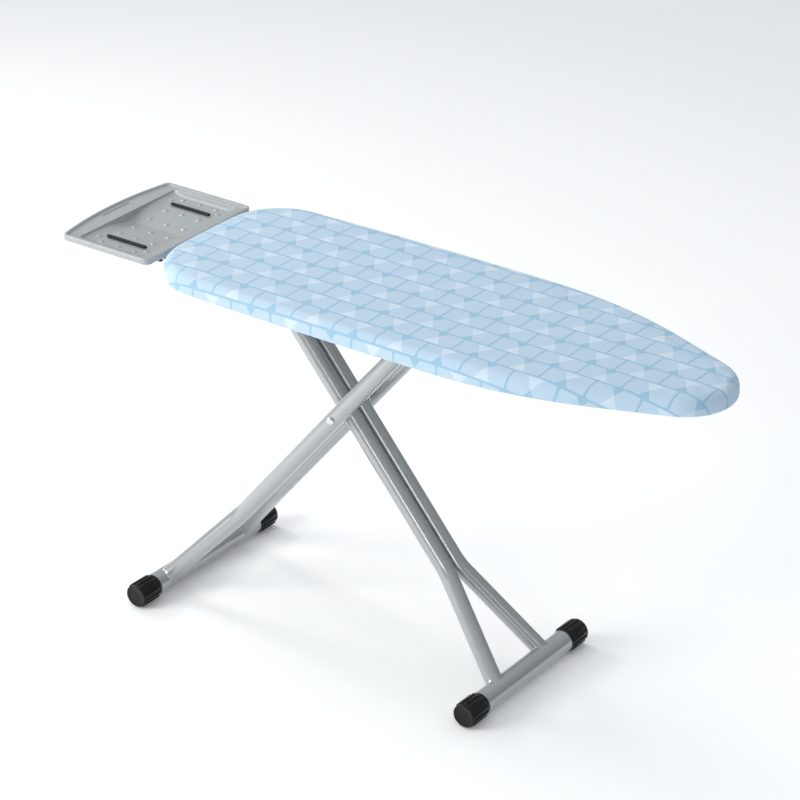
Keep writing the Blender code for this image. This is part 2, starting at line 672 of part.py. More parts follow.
def make_slide_bar(mats, outer):
    place = at(SLIDE_BAR_X, 0, JOINT_DEPTH)
    inside = BAR_HALF - BAR_CHAMFER
    bm = turned([(-BAR_HALF, BAR_RADIUS - BAR_CHAMFER), (-inside, BAR_RADIUS), (inside, BAR_RADIUS),
                 (BAR_HALF, BAR_RADIUS - BAR_CHAMFER)], place, sides=16)
    make_object("slide_bar", bm, mats["zinc_steel"], outer)
    bore = BAR_RADIUS + GAP
    nylon = mats["bush_nylon"]
    start = OUTER_Y + LEG_RADIUS + SIDE_PLAY
    end = RAIL_Y - BRACKET_WALL / 2 - SIDE_PLAY
    face = RAIL_Y + BRACKET_WALL / 2 + SIDE_PLAY
    for side, name in SIDE_NAMES.items():
        sleeve("slide_roller_" + name, place + Y_AXIS * side * face, side * ROLLER_WIDTH, ROLLER_RADIUS,
               bore, nylon, outer)
        sleeve("slide_spacer_" + name, place + Y_AXIS * side * start, side * (end - start), SPACER_RADIUS,
               bore, nylon, outer)


def make_pivot(mats, outer):
    """Shouldered bolt through all four tubes, with its nut, bushes and middle spacer."""
    place = at(PIVOT_X, 0, PIVOT_DEPTH)
    face = OUTER_Y + LEG_RADIUS + GAP
    crown = -face - BOLT_HEAD_HEIGHT
    end = face + BOLT_END
    profile = [(crown + SOCKET_DEPTH, SOCKET_RADIUS), (crown, SOCKET_RADIUS), (crown, 0.0055),
               (crown + 0.0007, 0.0062), (-face - 0.0008, BOLT_HEAD_RADIUS), (-face, BOLT_HEAD_RADIUS),
               (-face, BOLT_RADIUS), (end - 0.0005, BOLT_RADIUS), (end, BOLT_RADIUS - 0.0005)]
    make_object("pivot_bolt", turned(profile, place, sides=18), mats["chrome"], outer)
    bore = BOLT_RADIUS + GAP
    bm = turned([(0.0, NUT_CORNER), (NUT_HEIGHT - 0.0011, NUT_CORNER), (NUT_HEIGHT, NUT_CORNER - 0.0012)],
                place + Y_AXIS * face, sides=6)
    nut = make_object("pivot_nut", bm, mats["chrome"], outer)
    bm = turned([(face - CUT_MARGIN, bore), (face + NUT_HEIGHT + CUT_MARGIN, bore)], place, sides=18)
    boolean(nut, make_object("cut_pivot_nut", bm, mats["chrome"], outer))
    start = INNER_Y + LEG_RADIUS + GAP
    length = OUTER_Y - LEG_RADIUS - GAP - start
    for side, name in SIDE_NAMES.items():
        sleeve("pivot_bush_" + name, place + Y_AXIS * side * start, side * length, BUSH_RADIUS, bore,
               mats["bush_nylon"], outer, sides=18)
    half = INNER_Y - LEG_RADIUS - GAP
    sleeve("pivot_spacer", place - Y_AXIS * half, 2 * half, SPACER_RADIUS, bore, mats["bush_nylon"], outer,
           sides=18)


# ---------------------------------------------------------------- iron rest
def rest_ring(left, right, half, bow, corner, depth):
    """Ring round the iron rest: straight near, far and inner sides, bowed outer side."""
    across, along, turn = 8, 5, 3
    level = half - corner

    def edge_x(y):
        return left - bow * (1 - (y / half) ** 2)

    def corner_arc(x, y, first):
        turns = [math.radians(first - 90 * i / turn) for i in range(1, turn)]
        return [(x + corner * math.cos(a), y + corner * math.sin(a)) for a in turns]

    start, end = edge_x(level) + corner, right - corner
    ys = [-level + 2 * level * i / across for i in range(across + 1)]
    xs = [start + (end - start) * i / along for i in range(along + 1)]
    places = [(edge_x(y), y) for y in ys] + corner_arc(start, level, 180)
    places += [(x, half) for x in xs] + corner_arc(end, level, 90)
    places += [(right, -y) for y in ys] + corner_arc(end, -level, 0)
    places += [(x, -half) for x in reversed(xs)] + corner_arc(start, -level, -90)
    return [at(x, y, depth(x, y) if callable(depth) else depth) for x, y in places]


def dish_floor(y):
    """Depth of the dish floor: a shallow valley along the centre line."""
    return FLOOR_EDGE + FLOOR_DROP * max(0.0, 1 - abs(y) / DISH_HALF) ** 1.5


def rest_rings(sink, trim):
    """Rings from the rim inwards to the dish floor, sunk and trimmed for the underside."""
    left = -REST_REACH + REST_BOW
    rings = []
    for inset, depth in ((0.0025, REST_RIM_DEPTH), (0.0055, REST_RIM_DEPTH), (0.0095, REST_PLATEAU)):
        rings.append(rest_ring(left + inset, REST_RIGHT - inset, REST_HALF - inset,
                               REST_BOW, REST_CORNER - inset, depth + sink))
    dish = (DISH_LEFT + trim, DISH_RIGHT - trim, DISH_HALF - trim)
    rings.append(rest_ring(*dish, 0.0, DISH_CORNER, REST_PLATEAU + sink))
    for inset, share, bulge in ((0.006, 0.6, 0.5), (0.018, 1.0, 1.0)):
        def depth(x, y, share=share):
            return REST_PLATEAU + (dish_floor(y) - REST_PLATEAU) * share + sink
        rings.append(rest_ring(dish[0] + inset, dish[1] - inset, dish[2] - inset,
                               -LEDGE_BULGE * bulge, 0.006, depth))
    rings.append(rest_ring(dish[0] + 0.060, dish[1] - 0.040, 0.030, 0.0, 0.004,
                           lambda x, y: dish_floor(y) + sink))
    return rings


def make_rest_tray(mats, board):
    left = -REST_REACH + REST_BOW
    rings = [rest_ring(left, REST_RIGHT, REST_HALF, REST_BOW, REST_CORNER, d)
             for d in (REST_SKIRT_DEPTH, REST_RIM_DEPTH + 0.003)]
    top_rings = rest_rings(0.0, 0.0)
    rings += top_rings
    under = rest_rings(REST_WALL, REST_WALL)
    under[0] = rest_ring(left + REST_WALL, REST_RIGHT - REST_WALL, REST_HALF - REST_WALL, REST_BOW,
                         REST_CORNER - REST_WALL, REST_RIM_DEPTH + REST_WALL + 0.002)
    skirt = rest_ring(left + REST_WALL, REST_RIGHT - REST_WALL, REST_HALF - REST_WALL, REST_BOW,
                      REST_CORNER - REST_WALL, REST_SKIRT_DEPTH)
    rings += list(reversed([skirt, under[0]] + under[2:]))
    bm = loft(rings, cap=False)
    close_tray(bm, len(rings), len(rings[0]), upper=2 + len(top_rings) - 1)
    make_object("rest_tray", bm, mats["rest_plastic"], board)


def close_tray(bm, count, size, upper):
    """Join the skirt's two lower rings and fill the dish floor's upper and lower faces."""
    bm.verts.ensure_lookup_table()
    rows = [[bm.verts[r * size + i] for i in range(size)] for r in range(count)]
    lower = upper + 1
    for i in range(size):
        j = (i + 1) % size
        face = bm.faces.get((rows[upper][i], rows[upper][j], rows[lower][j], rows[lower][i]))
        bm.faces.remove(face)
        bm.faces.new((rows[-1][i], rows[-1][j], rows[0][j], rows[0][i]))
    bm.faces.new(rows[upper])
    bm.faces.new(rows[lower])


def make_rest_strips(mats, board):
    """Rubber strips that the iron stands on."""
    half = STRIP_WIDTH / 2
    x0, x1 = STRIP_X
    for side, name in SIDE_NAMES.items():
        y = side * STRIP_Y
        bottom = dish_floor(STRIP_Y - STRIP_WIDTH) - STRIP_LIFT
        top = bottom - STRIP_HEIGHT
        section = [(-half, bottom), (-half, top + 0.0012), (-half * 0.6, top), (half * 0.6, top),
                   (half, top + 0.0012), (half, bottom)]
        points = [at(x0, y + dy, d) for dy, d in section]
        make_object("rest_strip_" + name, extruded(points, X_AXIS * (x1 - x0)), mats["strip_rubber"], board)


def make_rest_clip(name, x, y, top, mats, board):
    """Block that hangs the support rod from the dish or from a brace."""
    low = (x - CLIP_HALF_X, y - CLIP_HALF_Y, top)
    high = (x + CLIP_HALF_X, y + CLIP_HALF_Y, ROD_DEPTH + ROD_RADIUS + CLIP_FLOOR)
    clip = make_object("rest_clip_" + name, box(low, high), mats["cap_plastic"], board)
    reach = CLIP_HALF_X + CUT_MARGIN
    bore = rod([at(x - reach, y, ROD_DEPTH), at(x + reach, y, ROD_DEPTH)], ROD_RADIUS + GAP)
    boolean(clip, make_object("cut_clip_" + name, bore, mats["cap_plastic"], board))


def make_rest_supports(mats, board):
    """Rods that carry the rest, their clips, and the bar across their outer ends."""
    x0, x1 = ROD_X
    under_dish = dish_floor(ROD_Y - CLIP_HALF_Y) + REST_WALL + GAP + 0.0012
    clips = {"outer": (CLIP_X[0], under_dish), "inner": (CLIP_X[1], under_dish),
             "end_brace": (BRACE_X["end"], BRACKET_TOP), "hinge_brace": (BRACE_X["hinge"], BRACKET_TOP)}
    for side, name in SIDE_NAMES.items():
        y = side * ROD_Y
        path = [at(x0, y, ROD_DEPTH), at(x1, y, ROD_DEPTH)]
        make_object("rest_rod_" + name, rod(path, ROD_RADIUS), mats["zinc_steel"], board)
        for place, (x, top) in clips.items():
            make_rest_clip(place + "_" + name, x, y, top, mats, board)
    reach = ROD_Y - ROD_RADIUS - GAP
    path = [at(x0 + ROD_RADIUS, -reach, ROD_DEPTH), at(x0 + ROD_RADIUS, reach, ROD_DEPTH)]
    make_object("rest_cross_rod", rod(path, ROD_RADIUS, up=Z_AXIS), mats["zinc_steel"], board)


def main():
    clear_scene()
    mats = make_materials()
    board = joint_empty("board_frame", at(HINGE_X, 0, JOINT_DEPTH))
    inner = joint_empty("inner_leg_axis", at(HINGE_X, 0, JOINT_DEPTH), board)
    outer = joint_empty("outer_leg_axis", at(PIVOT_X, 0, PIVOT_DEPTH), inner)
    lever = joint_empty("lever_axis", at(LEVER_X, 0, LEVER_DEPTH), board)

    make_board_top(mats, board)
    make_braces(mats, board)
    make_hinge_bracket(mats, board)
    make_rails(mats, board)
    make_comb(mats, lever)
    make_lever(mats, lever)
    make_lever_spring(mats, board)
    make_leg_pair("inner", mats, inner)
    make_leg_pair("outer", mats, outer)
    make_slide_bar(mats, outer)
    make_pivot(mats, outer)
    make_rest_tray(mats, board)
    make_rest_strips(mats, board)
    make_rest_supports(mats, board)


main()
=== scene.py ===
import json
import math

import bmesh
import bpy
import numpy as np
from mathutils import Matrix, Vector
from mathutils.geometry import delaunay_2d_cdt


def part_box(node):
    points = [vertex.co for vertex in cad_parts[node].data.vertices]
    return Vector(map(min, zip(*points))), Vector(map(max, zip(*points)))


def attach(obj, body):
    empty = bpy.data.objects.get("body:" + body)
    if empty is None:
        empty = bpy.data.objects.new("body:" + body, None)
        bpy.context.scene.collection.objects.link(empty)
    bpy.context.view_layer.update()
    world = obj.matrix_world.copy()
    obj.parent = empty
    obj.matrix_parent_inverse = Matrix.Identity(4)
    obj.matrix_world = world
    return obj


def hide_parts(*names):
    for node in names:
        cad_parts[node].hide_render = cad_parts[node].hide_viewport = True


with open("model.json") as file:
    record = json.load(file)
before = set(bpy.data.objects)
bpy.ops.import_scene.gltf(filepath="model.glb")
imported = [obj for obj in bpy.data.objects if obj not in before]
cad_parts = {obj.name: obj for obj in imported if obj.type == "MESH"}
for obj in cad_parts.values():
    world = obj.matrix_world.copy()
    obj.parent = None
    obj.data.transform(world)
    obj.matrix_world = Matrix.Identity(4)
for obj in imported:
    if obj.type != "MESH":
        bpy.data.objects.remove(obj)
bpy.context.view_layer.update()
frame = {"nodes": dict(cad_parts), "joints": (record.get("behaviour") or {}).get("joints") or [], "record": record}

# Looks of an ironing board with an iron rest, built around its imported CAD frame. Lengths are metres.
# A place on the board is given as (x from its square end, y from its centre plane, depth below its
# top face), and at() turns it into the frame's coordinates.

RECORD = frame["record"]
NODE_BODY = {n: b for b, members in RECORD["behaviour"]["bodies"].items() for n in members}
NODE_SLOT = {s["node"]: s["material_slot"] for s in RECORD["subparts"]}
JOINT = {j["name"]: np.array(j["pos_m"]) for j in frame["joints"]}
SIDES = {"near": -1, "far": 1}
X, Y, Z = np.eye(3)

# ---------------------------------------------------------------- driving dimensions
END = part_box("cover")[0].x              # the board's square end
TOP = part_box("cover")[1].z              # its top face
COVER_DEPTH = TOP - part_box("cover")[0].z

# Far half of the board's outline: (radius, turn in degrees) of each arc, then a straight and the nose.
OUTLINE_ARCS = ((3.754, 1.226), (0.1292, 87.02), (11.47, 2.91), (0.9287, 20.21))
NOSE_RADIUS = 0.1040
SPINE = (0.165, 1.040)                  # centre line that the top's rows fan out from
EDGE_RADIUS = 0.0208
HEM_RADIUS = 0.006
COVER_TUCK = 0.013                      # cover turned under the edge, up to its gathered hem
COVER_THICKNESS = 0.0009
COVER_SINK = 0.0008                     # the cloth starts lower, because it then swells
SWELL_CAP = 0.0016                      # the most that it swells
COVER_PINNED = 0.003                    # cloth this close to the cover's lower edge is held still
HEM_EDGE = 0.034                        # how far in the hem reaches
PLEAT_HEIGHT = 0.0013
STITCH_INSET = 0.0105                   # from the cover's tuck to the row of stitches
PAD_GAP = 0.0030                        # from the cover's outer face in to the pad, round the edge

# Print on the cover: running-bond tiles, each with a pale and a dark triangle point to point.
TILE_LENGTH = 0.09598
TILE_HEIGHT = 0.04995
PRINT_START = (0.1434, 0.18545)
JOINT_HALF = 0.0024                     # half the gap between tiles
TILE_CORNER = 0.0035
PALE_HALF = 0.0184
DARK_HALF = 0.0135
TRIANGLE_MEET = 0.6                     # where their points meet, as a share of the tile's height
THREAD_PITCH = 0.0009

# Perforated top: hexagonal holes in rows that are ROW_SHARE of a pitch apart.
HOLE_PITCH = 0.0215
HOLE_RADIUS = 0.0088
ROW_SHARE = 0.866
SHEET_INSET = 0.006
PLAIN_BORDER = 0.030

LEG_RADIUS = 0.0176
LEG_WALL = 0.0012                       # of the foot tubes too
LEG_OVERRUN = 0.016                     # tube beyond its hinge pin or slide bar
TUBE_EDGE = 0.0004                      # chamfer on a tube's open end
LEG_BENDS = {"inner": (0.6138, 0.5734), "outer": (0.1321, 0.5790)}
LEG_Y = {"inner": 0.0191, "outer": 0.0598}    # half the distance between a pair's tubes, above the bends
FOOT_Y = {"inner": 0.0839, "outer": 0.1268}   # and where they meet the foot
BEND_RADIUS = 0.15
# (distance short of the foot, extra radius) of a leg's rings where it is welded on
WELD_FLARE = ((0.030, 0.0), (0.006, 0.0), (0.0035, 0.0001), (0.0018, 0.0004), (0.0008, 0.0008), (0.0, 0.0013))
WELD_BACK = 0.08                        # where those rings start from, up the leg
FOOT_RADIUS = 0.0230
CAP_RADIUS = 0.0239
RIB_RADIUS = 0.0265
RIB_COUNT = 14
RIB_HALF = 6.0                          # half of a rib's angle, degrees
RIB_FLANK = 1.0                         # angle over which its side rises
CAP_FLOOR = 0.006                       # thickness of the cap's end

BOLT_RADIUS = 0.0040
BAR_RADIUS = 0.0060
PIN_GAP = 0.0003                        # round a bolt or bar, and under the bolt's head
WIRE_RADIUS = 0.0040                    # of the lever and of the rods under the rest
LEVER_Y, LEVER_REACH, LEVER_DROP = 0.185, 0.115, 0.024    # its arm's place, reach and fall
LEVER_BEND = 0.012
GRIP_LENGTH = 0.072                     # of the rod that the grip covers

REST_RIGHT = -0.006
REST_LEFT = -0.2265
REST_HALF = 0.1655
REST_BOW = 0.0175
REST_CORNER = 0.014
RIM_DEPTH = 0.0135
PLATEAU = 0.0177
SKIRT_DEPTH = 0.0260
REST_WALL = 0.0025
DISH = (-0.195, -0.031, 0.1505)         # left edge, right edge, half width
FLOOR_EDGE = 0.0255
FLOOR_DROP = 0.0092
LEDGE_DROP, LEDGE_RUN = 0.0038, 0.0013  # steep face under the left ledge, and how much it grows
SCOOP_DROP, SCOOP_RUN = 0.0125, 0.0032  # in the middle, over a bell SCOOP_HALF wide each way
SCOOP_HALF = 0.046
LEDGE_SLOPE = 0.040                     # run of the gentle slope down to the floor
SIDE_COVE, END_COVE = 0.017, 0.019
RIM_EDGE = 0.0032                       # radius on the rim's outer top edge
RIM_STEP, RIM_RUN = 0.0052, 0.0038      # where the step down to the plateau starts, and its width
SLOT_HALF, SLOT_FADE = 0.0425, 0.003    # slot in the left ledge; its place and spread are shares
SLOT_PLACE, SLOT_SPREAD, SLOT_DEPTH = 0.20, 0.045, 0.0028
LIP_PLACE, LIP_SPREAD, LIP_HEIGHT = 0.285, 0.035, 0.0006
DOME_RADIUS = 0.0049
DOME_HEIGHT = 0.0028
DOMES = [(x, s * y) for s in (-1, 1) for y, xs in (
    (0.1275, (-0.156, -0.113, -0.070)), (0.0715, (-0.156, -0.113, -0.070)),
    (0.0250, (-0.159, -0.115, -0.070)), (0.1125, (-0.0535, -0.1755))) for x in xs]


def at(x, y, depth):
    """Frame coordinates of a place on the board."""
    return np.array([END + x, y, TOP - depth])


def middle(node):
    low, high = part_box(node)
    return np.array((low + high) / 2)


def centre_line(node, along):
    """Ends of a straight CAD node's centre line."""
    low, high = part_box(node)
    half = np.array(high - low) * along / 2
    return [middle(node) - half, middle(node) + half]


# ---------------------------------------------------------------- shader arithmetic
class Field:
    """A shader value that takes part in ordinary arithmetic."""

    def __init__(self, tree, socket):
        self.tree, self.socket = tree, socket

    def calc(self, operation, *others, clamp=False):
        node = self.tree.nodes.new("ShaderNodeMath")
        node.operation = operation
        node.use_clamp = clamp
        for slot, value in zip(node.inputs, (self, *others)):
            if isinstance(value, Field):
                self.tree.links.new(value.socket, slot)
            else:
                slot.default_value = value
        return Field(self.tree, node.outputs[0])

    def __add__(self, other):
        return self.calc("ADD", other)

    def __sub__(self, other):
        return self.calc("SUBTRACT", other)

    def __rsub__(self, other):
        return self.calc("MULTIPLY_ADD", -1.0, other)

    def __mul__(self, other):
        return self.calc("MULTIPLY", other)

    def __truediv__(self, other):
        return self.calc("DIVIDE", other)

    def step(self, softness):
        """1 where the value is positive, 0 where negative, soft over the given width."""
        return (self * (1 / softness) + 0.5).calc("ADD", 0.0, clamp=True)


def set_inputs(node, **values):
    """Set a node's sockets; a _ stands for a space in a socket's name."""
    for name, value in values.items():
        node.inputs[name.replace("_", " ")].default_value = value


def new_material(name, colour, roughness, metallic=0.0):
    mat = bpy.data.materials.new(name)
    mat.use_nodes = True
    shader = mat.node_tree.nodes["Principled BSDF"]
    set_inputs(shader, Base_Color=(*colour, 1.0), Roughness=roughness, Metallic=metallic)
    mat.diffuse_color = (*colour, 1.0)
    return mat, mat.node_tree, shader


def noise(tree, scale, detail=3.0, stretch=(1, 1, 1)):
    place = tree.nodes.new("ShaderNodeTexCoord").outputs["Object"]
    if stretch != (1, 1, 1):
        mapping = tree.nodes.new("ShaderNodeMapping")
        set_inputs(mapping, Scale=stretch)
        tree.links.new(place, mapping.inputs["Vector"])
        place = mapping.outputs["Vector"]
    node = tree.nodes.new("ShaderNodeTexNoise")
    set_inputs(node, Scale=scale, Detail=detail)
    tree.links.new(place, node.inputs["Vector"])
    return Field(tree, node.outputs["Fac"])


def blend_colour(tree, share, low, high):
    node = tree.nodes.new("ShaderNodeMix")
    node.data_type = "RGBA"
    tree.links.new(share.socket, node.inputs["Factor"])
    for slot, colour in ((node.inputs[6], low), (node.inputs[7], high)):
        if isinstance(colour, tuple):
            slot.default_value = (*colour, 1.0)
        else:
            tree.links.new(colour, slot)
    return node.outputs[2]


def add_bump(tree, shader, height, distance, strength=1.0):
    node = tree.nodes.new("ShaderNodeBump")
    set_inputs(node, Strength=strength, Distance=distance)
    tree.links.new(height.socket, node.inputs["Height"])
    if shader.inputs["Normal"].links:
        tree.links.new(shader.inputs["Normal"].links[0].from_socket, node.inputs["Normal"])
    tree.links.new(node.outputs["Normal"], shader.inputs["Normal"])


def surface(name, colour, roughness, metallic=0.0, patch=30.0, spread=0.03, grain=1500.0, bump=0.000003,
            stretch=(1, 1, 1), uneven=0.3, coat=(0.0, 0.03), level=0.5):
    """A finish with slow patches in colour and gloss, and a fine grain in its relief."""
    mat, tree, shader = new_material(name, colour, roughness, metallic)
    set_inputs(shader, Coat_Weight=coat[0], Coat_Roughness=coat[1], Specular_IOR_Level=level)
    slow = noise(tree, patch, 4.0)
    dark = tuple(c * (1 - spread) for c in colour)
    light = tuple(min(1.0, c * (1 + spread)) for c in colour)
    tree.links.new(blend_colour(tree, slow, dark, light), shader.inputs["Base Color"])
    fine = noise(tree, grain * 0.4)
    gloss = (slow - 0.5) * (roughness * uneven) + (fine - 0.5) * (roughness * uneven / 2) + roughness
    tree.links.new(gloss.socket, shader.inputs["Roughness"])
    add_bump(tree, shader, noise(tree, grain, 2.0, stretch), bump)
    return mat


# ---------------------------------------------------------------- materials
def print_material():
    """Cotton cover printed with tiles; the map "print" holds places on the flat cloth in metres."""
    tile, joint = (0.448, 0.585, 0.712), (0.290, 0.480, 0.628)
    mat, tree, shader = new_material("cover_fabric", tile, 0.82)
    set_inputs(shader, Sheen_Weight=0.12, Sheen_Roughness=0.5, Specular_IOR_Level=0.25)
    source = tree.nodes.new("ShaderNodeUVMap")
    source.uv_map = "print"
    parts = tree.nodes.new("ShaderNodeSeparateXYZ")
    tree.links.new(source.outputs["UV"], parts.inputs[0])
    u, v = Field(tree, parts.outputs[0]), Field(tree, parts.outputs[1])

    down = (PRINT_START[1] - v) / TILE_HEIGHT
    row = down.calc("FLOOR")
    along = (u - PRINT_START[0]) / TILE_LENGTH - row.calc("FLOORED_MODULO", 2.0) * 0.5
    cell = along.calc("FLOOR")
    fx, fy = along - cell, down - row
    flip = (cell + row).calc("FLOORED_MODULO", 2.0)
    from_pale = fy + flip * (1.0 - fy * 2.0)
    off = (fx - 0.5).calc("ABSOLUTE") * TILE_LENGTH

    edge_x = TILE_LENGTH / 2 - off - JOINT_HALF
    edge_y = (0.5 - (fy - 0.5).calc("ABSOLUTE")) * TILE_HEIGHT - JOINT_HALF
    corner_x = (TILE_CORNER - edge_x).calc("MAXIMUM", 0.0)
    corner_y = (TILE_CORNER - edge_y).calc("MAXIMUM", 0.0)
    reach = (corner_x * corner_x + corner_y * corner_y).calc("SQRT")
    in_tile = (TILE_CORNER - reach).step(0.0007)
    pale = (from_pale.calc("MULTIPLY_ADD", -PALE_HALF / TRIANGLE_MEET, PALE_HALF) - off).step(0.0006)
    dark_slope = DARK_HALF / (1 - TRIANGLE_MEET)
    dark = (from_pale * dark_slope - DARK_HALF * TRIANGLE_MEET / (1 - TRIANGLE_MEET) - off).step(0.0008)

    patch = noise(tree, 14.0, 3.0)
    base = blend_colour(tree, patch, tuple(c * 0.97 for c in tile), tuple(c * 1.03 for c in tile))
    base = blend_colour(tree, pale * 0.9, base, (0.575, 0.682, 0.790))
    base = blend_colour(tree, dark, base, joint)
    base = blend_colour(tree, in_tile, joint, base)
    threads = noise(tree, 1800.0, 2.0)
    base = blend_colour(tree, (threads - 0.5) * 0.10 + 0.03, base, (0.85, 0.92, 0.97))
    tree.links.new(base, shader.inputs["Base Color"])
    tree.links.new(((threads - 0.5) * 0.25 + 0.80).socket, shader.inputs["Roughness"])

    phase = 2 * math.pi / THREAD_PITCH
    warp = (u * phase).calc("SINE")
    weft = (v * phase).calc("SINE")
    add_bump(tree, shader, warp * weft, 0.00006, 0.5)
    add_bump(tree, shader, noise(tree, 9.0, 3.0), 0.0012, 0.35)
    return mat


FINISHES = {
    "leg_paint": dict(colour=(0.400, 0.416, 0.428), roughness=0.28, metallic=0.50, patch=9, spread=0.015,
                      grain=900, bump=0.0000004, uneven=0.08, coat=(0.8, 0.16)),
    "board_steel": dict(colour=(0.62, 0.64, 0.65), roughness=0.36, metallic=0.2, patch=20, spread=0.02,
                        grain=2000),
    "zinc_steel": dict(colour=(0.58, 0.59, 0.60), roughness=0.30, metallic=0.95, patch=140, spread=0.10,
                       stretch=(1, 9, 1)),
    "rest_plastic": dict(colour=(0.350, 0.366, 0.376), roughness=0.30, patch=24, spread=0.015, grain=1400,
                         bump=0.000001, uneven=0.12, coat=(0.7, 0.07)),
    "cap_plastic": dict(colour=(0.0035, 0.004, 0.0045), roughness=0.34, patch=70, spread=0.15, level=0.3),
    "strip_rubber": dict(colour=(0.004, 0.004, 0.005), roughness=0.45, patch=90, spread=0.15,
                         bump=0.000002, level=0.3),
    "pad_felt": dict(colour=(0.80, 0.80, 0.77), roughness=0.95, patch=60, spread=0.06, bump=0.00012),
    "chrome": dict(colour=(0.82, 0.83, 0.84), roughness=0.10, metallic=1.0, patch=160, bump=0.000001),
    "bush_nylon": dict(colour=(0.74, 0.74, 0.70), roughness=0.42, patch=80),
}
MATERIALS = {name: surface(name, **look) for name, look in FINISHES.items()}
MATERIALS["cover_fabric"] = print_material()


# ---------------------------------------------------------------- mesh helpers
def add_object(name, data):
    obj = bpy.data.objects.new(name, data)
    bpy.context.scene.collection.objects.link(obj)
    return obj


def add_piece(name, points, faces, stands_for=(), body=None, slot=None, smooth=38.0):
    """A mesh piece; its body and finish come from the first CAD node it stands for."""
    mesh = bpy.data.meshes.new(name)
    mesh.from_pydata(np.asarray(points, float).tolist(), [], faces)
    bm = bmesh.new()
    bm.from_mesh(mesh)
    bmesh.ops.recalc_face_normals(bm, faces=bm.faces)
    bm.to_mesh(mesh)
    bm.free()
    mesh.shade_smooth()
    mesh.set_sharp_from_angle(angle=math.radians(smooth))
    body = body or NODE_BODY[stands_for[0]]
    slot = slot or NODE_SLOT[stands_for[0]]
    mesh.materials.append(MATERIALS[slot])
    obj = add_object(name, mesh)
    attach(obj, body)
    if stands_for:
        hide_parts(*stands_for)
    return obj


def loft(rings, loop=False, cap=True):
    """Points and faces of a skin over rings of equal length, with fans on its ends."""
    rings = np.asarray(rings)
    rows, count = rings.shape[:2]
    i = np.arange(count)
    j = (i + 1) % count
    base = np.arange(rows - 1)[:, None] * count
    faces = np.stack([base + i, base + j, base + count + j, base + count + i], -1).reshape(-1, 4).tolist()
    points = rings.reshape(-1, 3)
    last = (rows - 1) * count
    if loop:
        faces += np.stack([last + i, last + j, j, i], -1).tolist()
    elif cap:
        points = np.vstack([points, rings[0].mean(0), rings[-1].mean(0)])
        faces += np.stack([np.full(count, rows * count), j, i], -1).tolist()
        faces += np.stack([np.full(count, rows * count + 1), last + i, last + j], -1).tolist()
    return points, faces


def unit(v):
    return np.asarray(v) / np.linalg.norm(v)


def angles(sides):
    """Angles of a circle's points, half a step off its axes."""
    return 2 * np.pi * (np.arange(sides) + 0.5) / sides


def circle(centre, along, radius, sides, up=Y):
    """Ring of points; radius is a number or one value per point."""
    u = unit(up - along * np.dot(up, along))
    v = np.cross(along, u)
    a = angles(sides)
    radius = np.broadcast_to(radius, (sides,))[:, None]
    return centre + (np.outer(np.cos(a), u) + np.outer(np.sin(a), v)) * radius


def tangents(path):
    runs = np.diff(path, axis=0)
    runs /= np.linalg.norm(runs, axis=1)[:, None]
    mids = runs[:-1] + runs[1:]
    return np.vstack([runs[:1], mids / np.linalg.norm(mids, axis=1)[:, None], runs[-1:]])


def fillet(start, corner, end, radius, steps):
    """Path from start to end with the corner rounded by an arc."""
    back, ahead = unit(start - corner), unit(end - corner)
    half = math.acos(np.dot(back, ahead)) / 2
    trim = radius / math.tan(half)
    centre = corner + unit(back + ahead) * radius / math.sin(half)
    first, last = corner + back * trim - centre, corner + ahead * trim - centre
    sweep = math.acos(np.dot(unit(first), unit(last)))
    share = np.linspace(0, 1, steps + 1)[:, None]
    arc = centre + (first * np.sin(sweep * (1 - share)) + last * np.sin(sweep * share)) / math.sin(sweep)
    return np.vstack([[start], arc, [end]])


def rod(path, radius, sides=32, up=Y, chamfer=0.0006):
    """Round bar with small chamfers on its ends."""
    path = np.asarray(path, float)
    runs = tangents(path)
    first, last = path[:1], path[-1:]
    path = np.vstack([first, first + runs[0] * chamfer, path[1:-1], last - runs[-1] * chamfer, last])
    runs = np.vstack([runs[:1], runs, runs[-1:]])
    radii = [radius - chamfer] + [radius] * (len(path) - 2) + [radius - chamfer]
    return loft([circle(p, t, r, sides, up) for p, t, r in zip(path, runs, radii)])


def turned(profile, centre, axis=Y, sides=64, hollow=False):
    """Solid or ring of revolution from (distance along axis, radius) pairs."""
    up = Z if abs(np.dot(axis, Z)) < 0.5 else X
    return loft([circle(centre + axis * s, axis, r, sides, up) for s, r in profile], loop=hollow)


def hexagon(sides, across):
    """Radii that turn a circle's points into a hexagon of the given width across its flats."""
    a = np.degrees(angles(sides))
    return across / 2 / np.cos(np.radians((a + 30) % 60 - 30))


